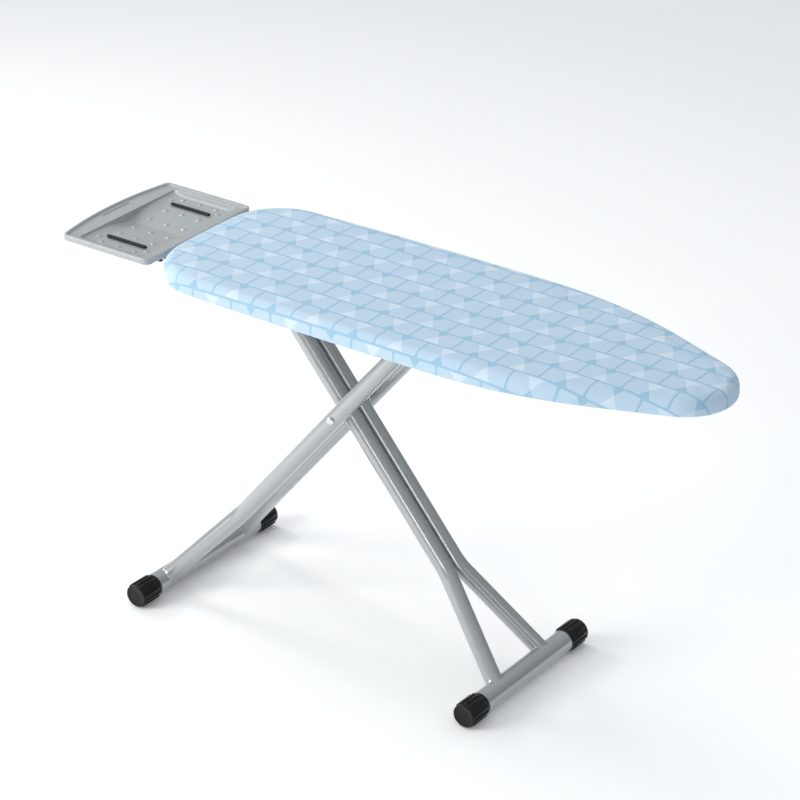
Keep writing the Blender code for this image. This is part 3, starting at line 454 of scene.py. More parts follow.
# ---------------------------------------------------------------- board outline
def outline(count):
    """(x, y, normal x, normal y) of evenly spaced places round the board, from the square end."""
    x, y, h = 0.0, 0.0, math.pi / 2
    runs = []
    for radius, turn in OUTLINE_ARCS:
        runs.append((x, y, h, radius, radius * math.radians(turn)))
        bend = h - math.radians(turn)
        x += radius * (math.sin(h) - math.sin(bend))
        y += radius * (math.cos(bend) - math.cos(h))
        h = bend
    straight = (y - NOSE_RADIUS * math.cos(h)) / -math.sin(h)
    runs.append((x, y, h, None, straight))
    runs.append((x + straight * math.cos(h), y + straight * math.sin(h), h, NOSE_RADIUS,
                 NOSE_RADIUS * (h + math.pi / 2)))
    half = []
    for s in np.linspace(0, sum(r[-1] for r in runs), count // 2 + 1):
        for x, y, h, radius, length in runs:
            if s <= length:
                break
            s -= length
        if radius is None:
            half.append((x + s * math.cos(h), y + s * math.sin(h), -math.sin(h), math.cos(h)))
        else:
            bend = h - s / radius
            half.append((x + radius * (math.sin(h) - math.sin(bend)),
                         y + radius * (math.cos(bend) - math.cos(h)), -math.sin(bend), math.cos(bend)))
    half = np.array(half)
    half[-1, 1:] = (0.0, 1.0, 0.0)
    return np.vstack([half, half[-2:0:-1] * (1, -1, 1, -1)])


def ring(track, inset, depth):
    """Ring that follows the outline, moved in by inset; inset and depth may vary round it."""
    x = END + track[:, 0] - track[:, 2] * inset
    y = track[:, 1] - track[:, 3] * inset
    return np.stack([x, y, np.broadcast_to(TOP - depth, x.shape)], 1)


# ---------------------------------------------------------------- cover, hem, pad
def cover_rows(track):
    """Rings of the cover from the spine out over the edge, with their places on the flat cloth."""
    edge = ring(track, EDGE_RADIUS, 0.0)
    spine = edge.copy()
    spine[:, 0] = np.clip(edge[:, 0], END + SPINE[0], END + SPINE[1])
    spine[:, 1] = 0.0
    rows, flat = [], []
    for share in np.linspace(0.0, 1.0, 19)[:-1]:
        row = spine + (edge - spine) * share
        rows.append(row)
        flat.append(np.stack([row[:, 0] - END, row[:, 1]], 1))
    section = [(EDGE_RADIUS * (1 - math.sin(a)), EDGE_RADIUS * (1 - math.cos(a)), EDGE_RADIUS * a)
               for a in np.linspace(0, math.pi / 2, 10)]
    low = COVER_DEPTH - HEM_RADIUS
    quarter = EDGE_RADIUS * math.pi / 2
    section += [(0.0, d, quarter + d - EDGE_RADIUS) for d in np.linspace(EDGE_RADIUS, low, 5)[1:]]
    wall = quarter + low - EDGE_RADIUS
    section += [(HEM_RADIUS * (1 - math.cos(a)), low + HEM_RADIUS * math.sin(a), wall + HEM_RADIUS * a)
                for a in np.linspace(0, math.pi / 2, 5)[1:]]
    under = wall + HEM_RADIUS * math.pi / 2
    section += [(HEM_RADIUS + d, COVER_DEPTH, under + d) for d in (0.0035, COVER_TUCK - HEM_RADIUS)]
    normal = track[:, 2:]
    start = np.stack([edge[:, 0] - END, edge[:, 1]], 1)
    for inset, depth, run in section:
        rows.append(ring(track, inset, depth))
        flat.append(start + normal * run)
    return np.array(rows), np.array(flat)


def set_print(mesh, places):
    """Store each vertex's place on the flat cloth as the map "print"."""
    layer = mesh.uv_layers.new(name="print")
    index = np.empty(len(mesh.loops), np.int32)
    mesh.loops.foreach_get("vertex_index", index)
    layer.data.foreach_set("uv", np.asarray(places, np.float32)[index].ravel())


def inflate(obj, pinned, cap):
    """Swell the cloth with a short simulation, outward only and by no more than cap."""
    rest = np.array([v.co for v in obj.data.vertices])
    group = obj.vertex_groups.new(name="hem")
    group.add(pinned, 1.0, "REPLACE")
    cloth = obj.modifiers.new("cloth", "CLOTH")
    settings = cloth.settings
    settings.quality = 5
    settings.mass = 0.25
    settings.tension_stiffness = 25
    settings.compression_stiffness = 20
    settings.bending_stiffness = 1.5
    settings.use_pressure = True
    settings.uniform_pressure_force = 4.0
    settings.vertex_group_mass = "hem"
    settings.effector_weights.gravity = 0.0
    scene = bpy.context.scene
    for step in range(1, 21):
        scene.frame_set(step)
    shaped = obj.evaluated_get(bpy.context.evaluated_depsgraph_get()).to_mesh()
    moved = np.array([v.co for v in shaped.vertices]) - rest
    normals = np.array([v.normal for v in obj.data.vertices])
    obj.modifiers.remove(cloth)
    scene.frame_set(1)
    lift = np.maximum((moved * normals).sum(1), 0.0)
    swollen = rest + normals * (np.tanh(lift / cap) * cap)[:, None]
    obj.data.vertices.foreach_set("co", swollen.astype(np.float32).ravel())
    obj.data.update()


def make_cover():
    track = outline(360)
    rows, flat = cover_rows(track)
    rows[:, :, 2] -= COVER_SINK
    points, faces = loft(rows, cap=False)
    count = rows.shape[1]
    bm = bmesh.new()
    places = bm.verts.layers.float_vector.new("place")
    verts = []
    for p, q in zip(points, flat.reshape(-1, 2)):
        vert = bm.verts.new(p)
        vert[places] = (*q, 0.0)
        verts.append(vert)
    for f in faces:
        bm.faces.new([verts[i] for i in f])
    bmesh.ops.remove_doubles(bm, verts=verts[:count], dist=1e-5)
    bmesh.ops.dissolve_degenerate(bm, edges=bm.edges, dist=1e-6)
    bmesh.ops.recalc_face_normals(bm, faces=bm.faces)
    top = max(bm.faces, key=lambda f: f.calc_area())
    if top.normal.z < 0:
        bmesh.ops.reverse_faces(bm, faces=bm.faces)
    mesh = bpy.data.meshes.new("cover_shell")
    bm.to_mesh(mesh)
    bm.free()
    cloth_places = np.zeros(len(mesh.vertices) * 3, np.float32)
    mesh.attributes["place"].data.foreach_get("vector", cloth_places)
    set_print(mesh, cloth_places.reshape(-1, 3)[:, :2])
    mesh.attributes.remove(mesh.attributes["place"])
    mesh.shade_smooth()
    mesh.materials.append(MATERIALS["cover_fabric"])
    obj = add_object("cover_shell", mesh)
    low = TOP - COVER_DEPTH + COVER_PINNED
    inflate(obj, [v.index for v in mesh.vertices if v.co.z < low], SWELL_CAP)
    smoother = obj.modifiers.new("smoother", "SUBSURF")
    smoother.levels = smoother.render_levels = 1
    wall = obj.modifiers.new("wall", "SOLIDIFY")
    wall.thickness = COVER_THICKNESS
    wall.offset = -1.0
    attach(obj, "board")
    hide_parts("cover")


def make_hem():
    """Gathered channel under the edge, with the elastic inside it drawing the cloth into pleats."""
    track = outline(1500)
    a = np.linspace(0, 2 * np.pi, len(track), endpoint=False)
    pleat = 0.55 * np.sin(143 * a + 1.2 * np.sin(9 * a)) + 0.45 * np.sin(89 * a + 2.0 * np.sin(5 * a + 1))
    wander = 0.0012 * np.sin(11 * a + 0.7) + 0.0006 * np.sin(31 * a)
    depth = COVER_DEPTH - 0.0008        # middle of the channel's thickness
    first_place = 0.062                 # the hem's outer edge, on the flat cloth
    # (share of the way in, half of the thickness, share of the pleats) round the channel
    section = [(0.00, 0.0000, 0.1), (0.12, 0.0006, 0.2), (0.45, 0.0009, 0.6), (0.62, 0.0006, 0.8),
               (0.72, 0.0022, 1.0), (0.86, 0.0028, 1.0), (0.97, 0.0018, 1.0), (1.00, 0.0000, 1.0)]
    start = COVER_TUCK - 0.002
    run = HEM_EDGE - start
    rows, flat = [], []
    for sign, stops in ((1, section), (-1, section[-2:0:-1])):
        for share, thick, gather in stops:
            inset = start + run * share + wander * share
            rows.append(ring(track, inset, depth + sign * thick + PLEAT_HEIGHT * gather * pleat))
            flat.append(track[:, :2] + track[:, 2:] * (first_place + run * share))
    obj = add_piece("cover_hem", *loft(rows, loop=True), body="board", slot="cover_fabric", smooth=180)
    set_print(obj.data, np.array(flat).reshape(-1, 2))


def make_stitches():
    """Row of stitches that closes the hem's channel."""
    track = outline(3000)
    points, faces = [], []
    inset = COVER_TUCK + STITCH_INSET
    thread, arch, hang = 0.00035, 0.0004, 0.0006
    for i in range(0, len(track) - 4, 5):
        ends = track[[i, i + 3]]
        line = ring(ends, inset, COVER_DEPTH + hang)
        mid = line.mean(0) - Z * arch
        body, skin = rod(np.array([line[0], mid, line[1]]), thread, 6, up=Z, chamfer=0.0002)
        faces += [[k + len(points) for k in f] for f in skin]
        points += body.tolist()
    add_piece("hem_stitches", points, faces, body="board", slot="pad_felt", smooth=180)


def make_pad():
    track = outline(480)
    radius = EDGE_RADIUS - PAD_GAP
    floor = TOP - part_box("pad")[0].z
    low = math.asin((EDGE_RADIUS - floor) / radius)
    section = [(EDGE_RADIUS - radius * math.cos(a), EDGE_RADIUS - radius * math.sin(a))
               for a in np.linspace(math.pi / 2, low, 7)]
    inner = section[-1][0]
    section += [(inner + 0.0006, floor), (inner + 0.004, floor)]
    add_piece("pad_layer", *loft([ring(track, i, d) for i, d in section]), ["pad"])


# ---------------------------------------------------------------- steel top and rim
def make_mesh_top():
    """Perforated steel sheet: staggered hexagonal holes inside a plain border."""
    track = outline(360)
    edge = ring(track, SHEET_INSET, 0.0)[:, :2]
    inner = ring(track, PLAIN_BORDER, 0.0)[:, :2]
    nxt = np.roll(inner, -1, 0) - inner
    centres = []
    width, length = 0.44, 1.25          # a little more than the board's
    rows = int(width / (HOLE_PITCH * ROW_SHARE)) // 2
    for r in range(-rows, rows + 1):
        for c in range(int(length / HOLE_PITCH)):
            centre = np.array([END + (c + 0.5 * (r % 2)) * HOLE_PITCH, r * HOLE_PITCH * ROW_SHARE])
            side = nxt[:, 0] * (centre[1] - inner[:, 1]) - nxt[:, 1] * (centre[0] - inner[:, 0])
            if (side < 0).all():
                centres.append(centre)
    centres = np.array(centres)
    turn = np.radians(30 + 60 * np.arange(6))
    hexes = centres[:, None] + HOLE_RADIUS * np.stack([np.cos(turn), np.sin(turn)], 1)
    coords = [Vector(p) for p in np.vstack([edge, hexes.reshape(-1, 2)])]
    count = len(edge)
    loops = [list(range(count))]
    loops += [list(range(count + 6 * k, count + 6 * k + 6)) for k in range(len(centres))]
    links = [(loop[i], loop[(i + 1) % len(loop)]) for loop in loops for i in range(len(loop))]
    verts, _, faces, _, _, _ = delaunay_2d_cdt(coords, links, [], 0, 1e-7)
    flat = np.array(verts)
    keep = []
    closest = 0.5 * HOLE_RADIUS * math.sqrt(3) * 0.95    # a little inside a hole's flats
    outer = np.roll(edge, -1, 0) - edge
    for face in faces:
        mid = flat[face].mean(0)
        if ((centres - mid) ** 2).sum(1).min() < closest ** 2:
            continue
        side = outer[:, 0] * (mid[1] - edge[:, 1]) - outer[:, 1] * (mid[0] - edge[:, 0])
        if (side < 1e-9).all():
            keep.append(list(face))
    low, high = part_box("top_panel")
    points = np.hstack([flat, np.full((len(flat), 1), high.z)])
    obj = add_piece("mesh_top", points, keep, ["top_panel"], smooth=20)
    if obj.data.polygons[0].normal.z < 0:
        obj.data.flip_normals()
    wall = obj.modifiers.new("sheet", "SOLIDIFY")
    wall.thickness = high.z - low.z
    wall.offset = -1.0


def make_rim():
    """Rolled channel round the board's edge, with rounded bends."""
    track = outline(720)
    inset, flange, lip, sheet, bend = 0.0055, 0.016, 0.012, 0.001, 0.0022
    top, bottom = 0.0109, 0.0330

    def arc(cx, cd, radius, first, last):
        return [(cx + radius * math.cos(a), cd + radius * math.sin(a))
                for a in np.radians(np.linspace(first, last, 5))]

    outer = [(inset + flange, top)] + arc(inset + bend, top + bend, bend, 270, 180)
    outer += arc(inset + bend, bottom - bend, bend, 180, 90) + [(inset + lip, bottom)]
    inside = bend - sheet
    inner = [(inset + lip, bottom - sheet)] + arc(inset + bend, bottom - bend, inside, 90, 180)
    inner += arc(inset + bend, top + bend, inside, 180, 270) + [(inset + flange, top + sheet)]
    add_piece("rim_channel", *loft([ring(track, i, d) for i, d in outer + inner], loop=True),
              ["rim_frame"], smooth=40)


def finish_cad(node, width=0.0004):
    """Keep a CAD node's shape, with its edges eased and its finish put on."""
    obj = frame["nodes"][node]
    obj.data.materials.clear()
    obj.data.materials.append(MATERIALS[NODE_SLOT[node]])
    bevel = obj.modifiers.new("eased_edges", "BEVEL")
    bevel.width = width
    bevel.segments = 2
    bevel.limit_method = "ANGLE"
    bevel.angle_limit = math.radians(50)
    bevel.harden_normals = True


# ---------------------------------------------------------------- stand
def saddle(points, along, axis_place, radius, short):
    """Slide points along a line to a cylinder lying along Y, stopping short of it."""
    px, pz = points[:, 0] - axis_place[0], points[:, 2] - axis_place[2]
    a = along[0] ** 2 + along[2] ** 2
    b = px * along[0] + pz * along[2]
    c = px ** 2 + pz ** 2 - radius ** 2
    reach = (-b - np.sqrt(b * b - a * c)) / a
    return points + np.outer(reach - short, along)


def make_leg(pair, side_name):
    """Bent tube whose lower end flares into a smooth fillet where it is welded to the foot."""
    side = SIDES[side_name]
    joint = JOINT["leg_fold"] if pair == "inner" else middle("slide_bar")
    y = side * LEG_Y[pair]
    foot_y = side * FOOT_Y[pair]
    top = np.array([joint[0], y, joint[2]])
    bend = at(LEG_BENDS[pair][0], y, LEG_BENDS[pair][1])
    foot = middle(pair + "_foot_tube") * (1, 0, 1) + Y * foot_y
    start = top + unit(top - bend) * LEG_OVERRUN
    path = fillet(start, bend, foot, BEND_RADIUS, 18)
    runs = tangents(path)
    sides = 64
    rings = [circle(p, t, LEG_RADIUS, sides) for p, t in zip(path[:-1], runs[:-1])]
    rings.insert(0, circle(path[0], runs[0], LEG_RADIUS - TUBE_EDGE, sides))
    run = runs[-1]
    for short, flare in WELD_FLARE:
        end = circle(foot - run * WELD_BACK, run, LEG_RADIUS + flare, sides)
        rings.append(saddle(end, run, foot, FOOT_RADIUS, short))
    inside = [circle(p, t, LEG_RADIUS - LEG_WALL, sides) for p, t in zip(path[:-1], runs[:-1])]
    end = circle(foot - run * WELD_BACK, run, LEG_RADIUS - LEG_WALL, sides)
    inside.append(saddle(end, run, foot, FOOT_RADIUS, 0.0))
    add_piece(f"{pair}_leg_{side_name}", *loft(rings + inside[::-1], loop=True),
              [f"{pair}_tube_{side_name}"], smooth=50)

    along = -runs[0]
    gap, core = 0.0003, 0.0150
    end = start + along * gap
    radius = LEG_RADIUS - TUBE_EDGE
    # (distance out of the tube, radius) of the plug
    profile = [(-0.0065, core), (0.0, core), (0.0, radius - 0.0003), (0.0004, radius), (0.0012, radius),
               (0.0019, radius - 0.0006), (0.0023, radius - 0.0020), (0.0024, radius - 0.0045)]
    rings = [circle(end + along * s, along, r, 48) for s, r in profile]
    add_piece(f"{pair}_end_plug_{side_name}", *loft(rings), [f"{pair}_plug_{side_name}"])


def make_foot(pair):
    place = middle(pair + "_foot_tube")
    reach = (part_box(pair + "_foot_tube")[1].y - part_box(pair + "_foot_tube")[0].y) / 2
    bore = FOOT_RADIUS - LEG_WALL
    profile = [(-reach, FOOT_RADIUS), (reach, FOOT_RADIUS), (reach, bore), (-reach, bore)]
    add_piece(pair + "_foot", *turned(profile, place, sides=96, hollow=True), [pair + "_foot_tube"])
    for name, side in SIDES.items():
        make_cap(pair, name, side, place)


def make_cap(pair, name, side, place):
    """Ribbed end cap: ribs run between a plain collar and a plain rim round a flat face."""
    node = f"{pair}_foot_cap_{name}"
    low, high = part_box(node)
    outer = high.y if side > 0 else low.y
    length = high.y - low.y
    sides = RIB_COUNT * 20
    a = np.degrees(angles(sides))
    pitch = 360 / RIB_COUNT
    off = np.abs((a + pitch / 2) % pitch - pitch / 2)
    crest = np.clip((RIB_HALF + RIB_FLANK / 2 - off) / RIB_FLANK, 0, 1)
    crest = crest * crest * (3 - 2 * crest)
    rise = RIB_RADIUS - CAP_RADIUS
    face = CAP_RADIUS - 0.0013
    bore = FOOT_RADIUS + 0.0003
    # (distance from the outer face, radius between ribs, share of a rib's rise)
    rows = [(0.0012, 0.010, 0), (0.0010, face - 0.0040, 0), (0.0004, face - 0.0028, 0),
            (0.0003, face - 0.0022, 0), (0.0000, face - 0.0014, 0), (0.0000, face - 0.0004, 0),
            (0.0004, face + 0.0004, 0), (0.0013, CAP_RADIUS, 0), (0.0062, CAP_RADIUS, 0),
            (0.0065, CAP_RADIUS, 0.4), (0.0069, CAP_RADIUS, 0.85), (0.0075, CAP_RADIUS, 1.0),
            (0.0495, CAP_RADIUS, 1.0), (0.0501, CAP_RADIUS, 0.85), (0.0505, CAP_RADIUS, 0.4),
            (0.0508, CAP_RADIUS, 0), (length - 0.0008, CAP_RADIUS, 0), (length, CAP_RADIUS - 0.0006, 0),
            (length, bore, 0), (CAP_FLOOR, bore, 0), (CAP_FLOOR, 0.010, 0)]
    # A rib points straight down, so that the cap stands on it.
    down = circle(np.zeros(3), Y, 1.0, sides, up=-Z)
    rings = [place * (1, 0, 1) + Y * (outer - side * s) + down * (plain + rise * share * crest)[:, None]
             for s, plain, share in rows]
    add_piece(f"{pair}_cap_{name}", *loft(rings), [node], smooth=46)


def make_pivot():
    """Bolt with a domed socket head on the near side, and its nut on the far side."""
    place = JOINT["leg_cross"]
    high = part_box("pivot_bolt")[1]
    face = LEG_Y["outer"] + LEG_RADIUS + PIN_GAP
    sides = 72
    socket = hexagon(sides, 0.0050)
    # (distance out from the leg, radius) of the head, from the socket's floor to the shank
    head = [(0.0022, socket * 0.6), (0.0024, socket), (0.0050, socket), (0.0053, socket + 0.0004),
            (0.0052, 0.0046), (0.0046, 0.0060), (0.0034, 0.0071), (0.0018, 0.0077), (0.0006, 0.0077),
            (0.0, 0.0072), (0.0, BOLT_RADIUS)]
    rows = [(-face - out, r) for out, r in head]
    rows += [(high.y - 0.0006, BOLT_RADIUS), (high.y, BOLT_RADIUS - 0.0006)]
    add_piece("pivot_screw", *loft([circle(place + Y * s, Y, r, sides, Z) for s, r in rows]),
              ["pivot_bolt"], smooth=34)

    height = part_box("pivot_nut")[1].y - face
    flats = hexagon(sides, 0.0130)
    bore = BOLT_RADIUS + PIN_GAP
    rows = [(0.0, bore), (0.0, np.minimum(flats, 0.0066)), (0.0006, flats), (height - 0.0008, flats),
            (height, np.minimum(flats, 0.0062)), (height, bore)]
    rings = [circle(place + Y * (face + s), Y, r, sides, Z) for s, r in rows]
    add_piece("pivot_lock_nut", *loft(rings, loop=True), ["pivot_nut"], smooth=30)


def make_ring_part(node, name, bore, edge=0.0005):
    """Bush, roller or spacer along Y, with eased edges, in the space of its CAD node."""
    low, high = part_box(node)
    radius = (high.x - low.x) / 2
    half = (high.y - low.y) / 2
    rows = [(-half, bore), (-half, radius - edge), (-half + edge, radius), (half - edge, radius),
            (half, radius - edge), (half, bore)]
    add_piece(name, *turned(rows, middle(node), sides=56, hollow=True), [node])


def make_pins():
    low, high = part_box("hinge_pin")
    place = middle("hinge_pin")
    half = (high.y - low.y) / 2
    # (distance from the end, radius) of the head at each end of the pin
    head = [(0.0, 0.0050), (0.0002, 0.0070), (0.0009, 0.0080), (0.0013, 0.0080), (0.0013, 0.0050)]
    rows = [(s - half, r) for s, r in head] + [(half - s, r) for s, r in reversed(head)]
    add_piece("hinge_rivet_pin", *turned(rows, place, sides=48), ["hinge_pin"])
    add_piece("slide_shaft", *rod(centre_line("slide_bar", Y), BAR_RADIUS, 40, Z, 0.001), ["slide_bar"])
    for name in SIDES:
        make_ring_part("slide_roller_" + name, "rail_roller_" + name, BAR_RADIUS + PIN_GAP)
        make_ring_part("slide_spacer_" + name, "bar_spacer_" + name, BAR_RADIUS + PIN_GAP)
        make_ring_part("pivot_bush_" + name, "leg_bush_" + name, BOLT_RADIUS + PIN_GAP)
    make_ring_part("pivot_spacer", "leg_spacer", BOLT_RADIUS + PIN_GAP)


# ---------------------------------------------------------------- height lever
def make_lever():
    """Bent rod with a ribbed grip on its arm and a coil spring round its pivot."""
    place = JOINT["lever_lift"]
    start_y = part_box("lever_rod")[0].y
    corner = place * (1, 0, 1) + Y * LEVER_Y
    tip = corner + X * LEVER_REACH - Z * LEVER_DROP
    path = fillet(place * (1, 0, 1) + Y * start_y, corner, tip, LEVER_BEND, 10)
    add_piece("lever_bar", *rod(path, WIRE_RADIUS, 32, Z, 0.0008), ["lever_rod"])

    arm = unit(tip - corner)
    start = tip - arm * GRIP_LENGTH
    sides = 48
    bore = WIRE_RADIUS + PIN_GAP
    taper, ribs_from, ribs_to, rib_pitch, rib_height = 0.066, 0.014, 0.056, 0.0050, 0.0005
    rows = [(GRIP_LENGTH + 0.0005, bore), (0.0, bore), (0.0, 0.0058), (0.0006, 0.0066), (0.0030, 0.0079)]
    for s in np.linspace(0.0045, taper, 60):
        wave = max(0.0, math.sin(2 * math.pi * (s - ribs_from) / rib_pitch))
        ridge = rib_height * wave if ribs_from < s < ribs_to else 0.0
        rows.append((s, 0.0072 + 0.0010 * (s / taper) ** 2 + ridge))
    rows += [(0.0690, 0.0080), (0.0715, 0.0070), (0.0733, 0.0052), (0.0740, 0.0030)]
    add_piece("lever_handle", *loft([circle(start + arm * s, arm, r, sides, Z) for s, r in rows]),
              ["lever_grip"], smooth=60)

    low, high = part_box("lever_spring")
    turns, wire, radius = 5, 0.0009, 0.0066
    t = np.linspace(0, 1, 40 * turns)
    coil = np.stack([place[0] + radius * np.sin(2 * np.pi * turns * t),
                     low.y + wire + (high.y - low.y - 2 * wire) * t,
                     place[2] + radius * np.cos(2 * np.pi * turns * t)], 1)
    add_piece("return_spring", *rod(coil, wire, 12, chamfer=0.0002), ["lever_spring"], smooth=180)


# ---------------------------------------------------------------- iron rest
def rest_outline(inset, nx, ny):
    """Loop round the rest: bowed left side, far side, right side, near side; corners share cells."""
    turn = 7
    half, corner = REST_HALF - inset, max(REST_CORNER - inset, 0.001)
    left, right = REST_LEFT + inset, REST_RIGHT - inset

    def bowed(y):
        return left - REST_BOW * (1 - (y / half) ** 2)

    straight_y = np.linspace(-(half - corner), half - corner, ny - 2 * turn + 1)
    low_x = bowed(half - corner) + corner
    straight_x = np.linspace(low_x, right - corner, nx - 2 * turn + 1)

    def arc(cx, cy, first):
        a = np.radians(first - np.arange(1, 2 * turn) * 90 / (2 * turn))
        return np.stack([cx + corner * np.cos(a), cy + corner * np.sin(a)], 1)

    loop = np.vstack([
        np.stack([bowed(straight_y), straight_y], 1), arc(low_x, half - corner, 180),
        np.stack([straight_x, np.full(len(straight_x), half)], 1), arc(right - corner, half - corner, 90),
        np.stack([np.full(len(straight_y), right), straight_y[::-1]], 1),
        arc(right - corner, -half + corner, 0),
        np.stack([straight_x[::-1], np.full(len(straight_x), -half)], 1), arc(low_x, -half + corner, -90)])
    return np.roll(loop, turn, 0)


def grid_lines(low, high, marks):
    """Grid lines between two ends, close together near the marks."""
    fine, coarse, near = 0.0008, 0.0024, 0.0066
    lines = [low]
    while lines[-1] < high:
        gap = min(abs(lines[-1] + fine - m) for m in marks)
        lines.append(lines[-1] + (fine if gap < near else coarse))
    lines = np.array(lines)
    return low + (lines - low) * (high - low) / (lines[-1] - low)


def floor_depth(y):
    return FLOOR_EDGE + FLOOR_DROP * np.maximum(0.0, 1 - np.abs(y) / DISH[2]) ** 1.5


def dish_depth(x, y):
    """Depth inside the dish: a steep face under the left ledge, coved sides, a valley floor."""
    left, right, half = DISH
    bell = np.exp(-(y / SCOOP_HALF) ** 2)
    steep_drop = LEDGE_DROP + SCOOP_DROP * bell
    steep = np.clip((x - left) / (LEDGE_RUN + SCOOP_RUN * bell), 0, 1)
    gentle = np.clip((x - left) / LEDGE_SLOPE, 0, 1)
    fall = steep_drop * (1 - (1 - steep) ** 1.5)
    fall = fall + (floor_depth(y) - PLATEAU - steep_drop) * (1 - (1 - gentle) ** 2)
    side = 1 - (1 - np.clip((half - np.abs(y)) / SIDE_COVE, 0, 1)) ** 2
    cove = 1 - (1 - np.clip((right - x) / END_COVE, 0, 1)) ** 2
    return PLATEAU + fall * side * cove


def dome_rise(x, y):
    rise = np.zeros_like(x)
    for dx, dy in DOMES:
        q = ((x - dx) ** 2 + (y - dy) ** 2) / DOME_RADIUS ** 2
        rise = np.maximum(rise, DOME_HEIGHT * np.maximum(0.0, 1 - q) ** 0.85)
    return rise


def rim_section():
    """(inset, depth) pairs from the skirt's lower edge over the rim to the plateau."""
    pairs = [(0.0006, SKIRT_DEPTH), (0.0001, SKIRT_DEPTH - 0.0006), (0.0, SKIRT_DEPTH - 0.0016),
             (0.0, 0.0200)]
    pairs += [(RIM_EDGE * (1 - math.cos(a)), RIM_DEPTH + RIM_EDGE * (1 - math.sin(a)))
              for a in np.linspace(0, math.pi / 2, 7)]
    pairs += [(RIM_STEP - 0.0004, RIM_DEPTH)]
    drop = PLATEAU - RIM_DEPTH
    pairs += [(RIM_STEP + RIM_RUN * s, RIM_DEPTH + drop * (s * s * (3 - 2 * s)))
              for s in np.linspace(0.1, 1, 7)]
    return pairs


def groove(loop, share):
    """Narrow curved slot in the left ledge, parallel to the outer edge."""
    on_left = loop[:, 0] < DISH[0] + 0.002
    along = np.clip((SLOT_HALF - np.abs(loop[:, 1])) / SLOT_FADE, 0, 1)
    across = np.clip(1 - np.abs(share - SLOT_PLACE) / SLOT_SPREAD, 0, 1)
    lip = np.clip(1 - np.abs(share - LIP_PLACE) / LIP_SPREAD, 0, 1)
    return on_left * along * (SLOT_DEPTH * across ** 0.5 - LIP_HEIGHT * lip)


def make_rest_tray():
    left, right, half = DISH
    gx = grid_lines(left, right, [left, left + 0.010] + sorted({x for x, _ in DOMES}))
    gy = grid_lines(-half, half, sorted({y for _, y in DOMES}))
    nx, ny = len(gx) - 1, len(gy) - 1
    inner = np.vstack([
        np.stack([np.full(ny, left), gy[:-1]], 1), np.stack([gx[:-1], np.full(nx, half)], 1),
        np.stack([np.full(ny, right), gy[:0:-1]], 1), np.stack([gx[:0:-1], np.full(nx, -half)], 1)])
    count = len(inner)

    def place(loop, depth):
        return np.stack([END + loop[:, 0], loop[:, 1], np.broadcast_to(TOP - depth, len(loop))], 1)

    section = rim_section()
    rings = [place(rest_outline(i, nx, ny), d) for i, d in section]
    start = rest_outline(section[-1][0], nx, ny)
    shares = (0.06, 0.11, 0.15, 0.165, 0.18, 0.20, 0.22, 0.235, 0.25, 0.27, 0.285, 0.30, 0.33, 0.40, 0.55,
              0.70, 0.85, 0.95)
    for share in shares:
        loop = start + (inner - start) * share
        rings.append(place(loop, PLATEAU + groove(loop, share)))
    low = PLATEAU + REST_WALL
    under_start = rest_outline(0.0030, nx, ny)
    under = [place(rest_outline(0.0022, nx, ny), SKIRT_DEPTH),
             place(rest_outline(0.0025, nx, ny), SKIRT_DEPTH - 0.001), place(under_start, low + 0.001)]
    under += [place(under_start + (inner - under_start) * s, low) for s in (0.15, 0.5, 0.9)]

    mx, my = np.meshgrid(gx, gy, indexing="ij")
    upper = dish_depth(mx, my) - dome_rise(mx, my)
    lower = dish_depth(mx, my) + REST_WALL
    points = np.vstack(rings + under)
    base_top = len(points)
    tops = np.stack([END + mx, my, TOP - upper], -1).reshape(-1, 3)
    lows = np.stack([END + mx, my, TOP - lower], -1).reshape(-1, 3)
    base_low = base_top + len(tops)
    points = np.vstack([points, tops, lows])

    def at_grid(base, i, j):
        return base + i * (ny + 1) + j

    def border(base):
        loop = [at_grid(base, 0, j) for j in range(ny)] + [at_grid(base, i, ny) for i in range(nx)]
        loop += [at_grid(base, nx, j) for j in range(ny, 0, -1)]
        return loop + [at_grid(base, i, 0) for i in range(nx, 0, -1)]

    def bridge(a, b):
        return [[a[i], a[(i + 1) % count], b[(i + 1) % count], b[i]] for i in range(count)]

    faces = []
    loops = [list(range(k * count, (k + 1) * count)) for k in range(len(rings) + len(under))]
    upper_loops = loops[:len(rings)] + [border(base_top)]
    lower_loops = loops[len(rings):] + [border(base_low)]
    for chain in (upper_loops, lower_loops):
        for a, b in zip(chain, chain[1:]):
            faces += bridge(a, b)
    faces += bridge(loops[0], loops[len(rings)])
    i, j = (g.ravel() for g in np.meshgrid(np.arange(nx), np.arange(ny), indexing="ij"))
    for base in (base_top, base_low):
        faces += np.stack([at_grid(base, i, j), at_grid(base, i + 1, j), at_grid(base, i + 1, j + 1),
                           at_grid(base, i, j + 1)], -1).tolist()
    add_piece("iron_tray", points, faces, ["rest_tray"], smooth=60)


def make_rest_strips():
    """Silicone strips with rounded ends and a flattened top."""
    for name in SIDES:
        low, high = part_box("rest_strip_" + name)
        y = (low.y + high.y) / 2
        width = high.y - low.y
        rows = []
        stops = [(0.0, 0.35), (0.0004, 0.60), (0.0012, 0.84), (0.0024, 0.97), (0.0036, 1.0)]
        ends = [(low.x + s, w) for s, w in stops] + [(high.x - s, w) for s, w in reversed(stops)]
        sides, square = 28, 0.6         # a power under 1 squares the oval section
        a = angles(sides)
        height = high.z - low.z
        for x, share in ends:
            dy = np.sign(np.cos(a)) * np.abs(np.cos(a)) ** square * width / 2 * share
            dz = np.sign(np.sin(a)) * np.abs(np.sin(a)) ** square * height / 2 * (0.5 + 0.5 * share)
            rows.append(np.stack([np.full(sides, x), y + dy, low.z + height / 2 + dz], 1))
        add_piece("silicone_strip_" + name, *loft(rows), ["rest_strip_" + name], smooth=50)


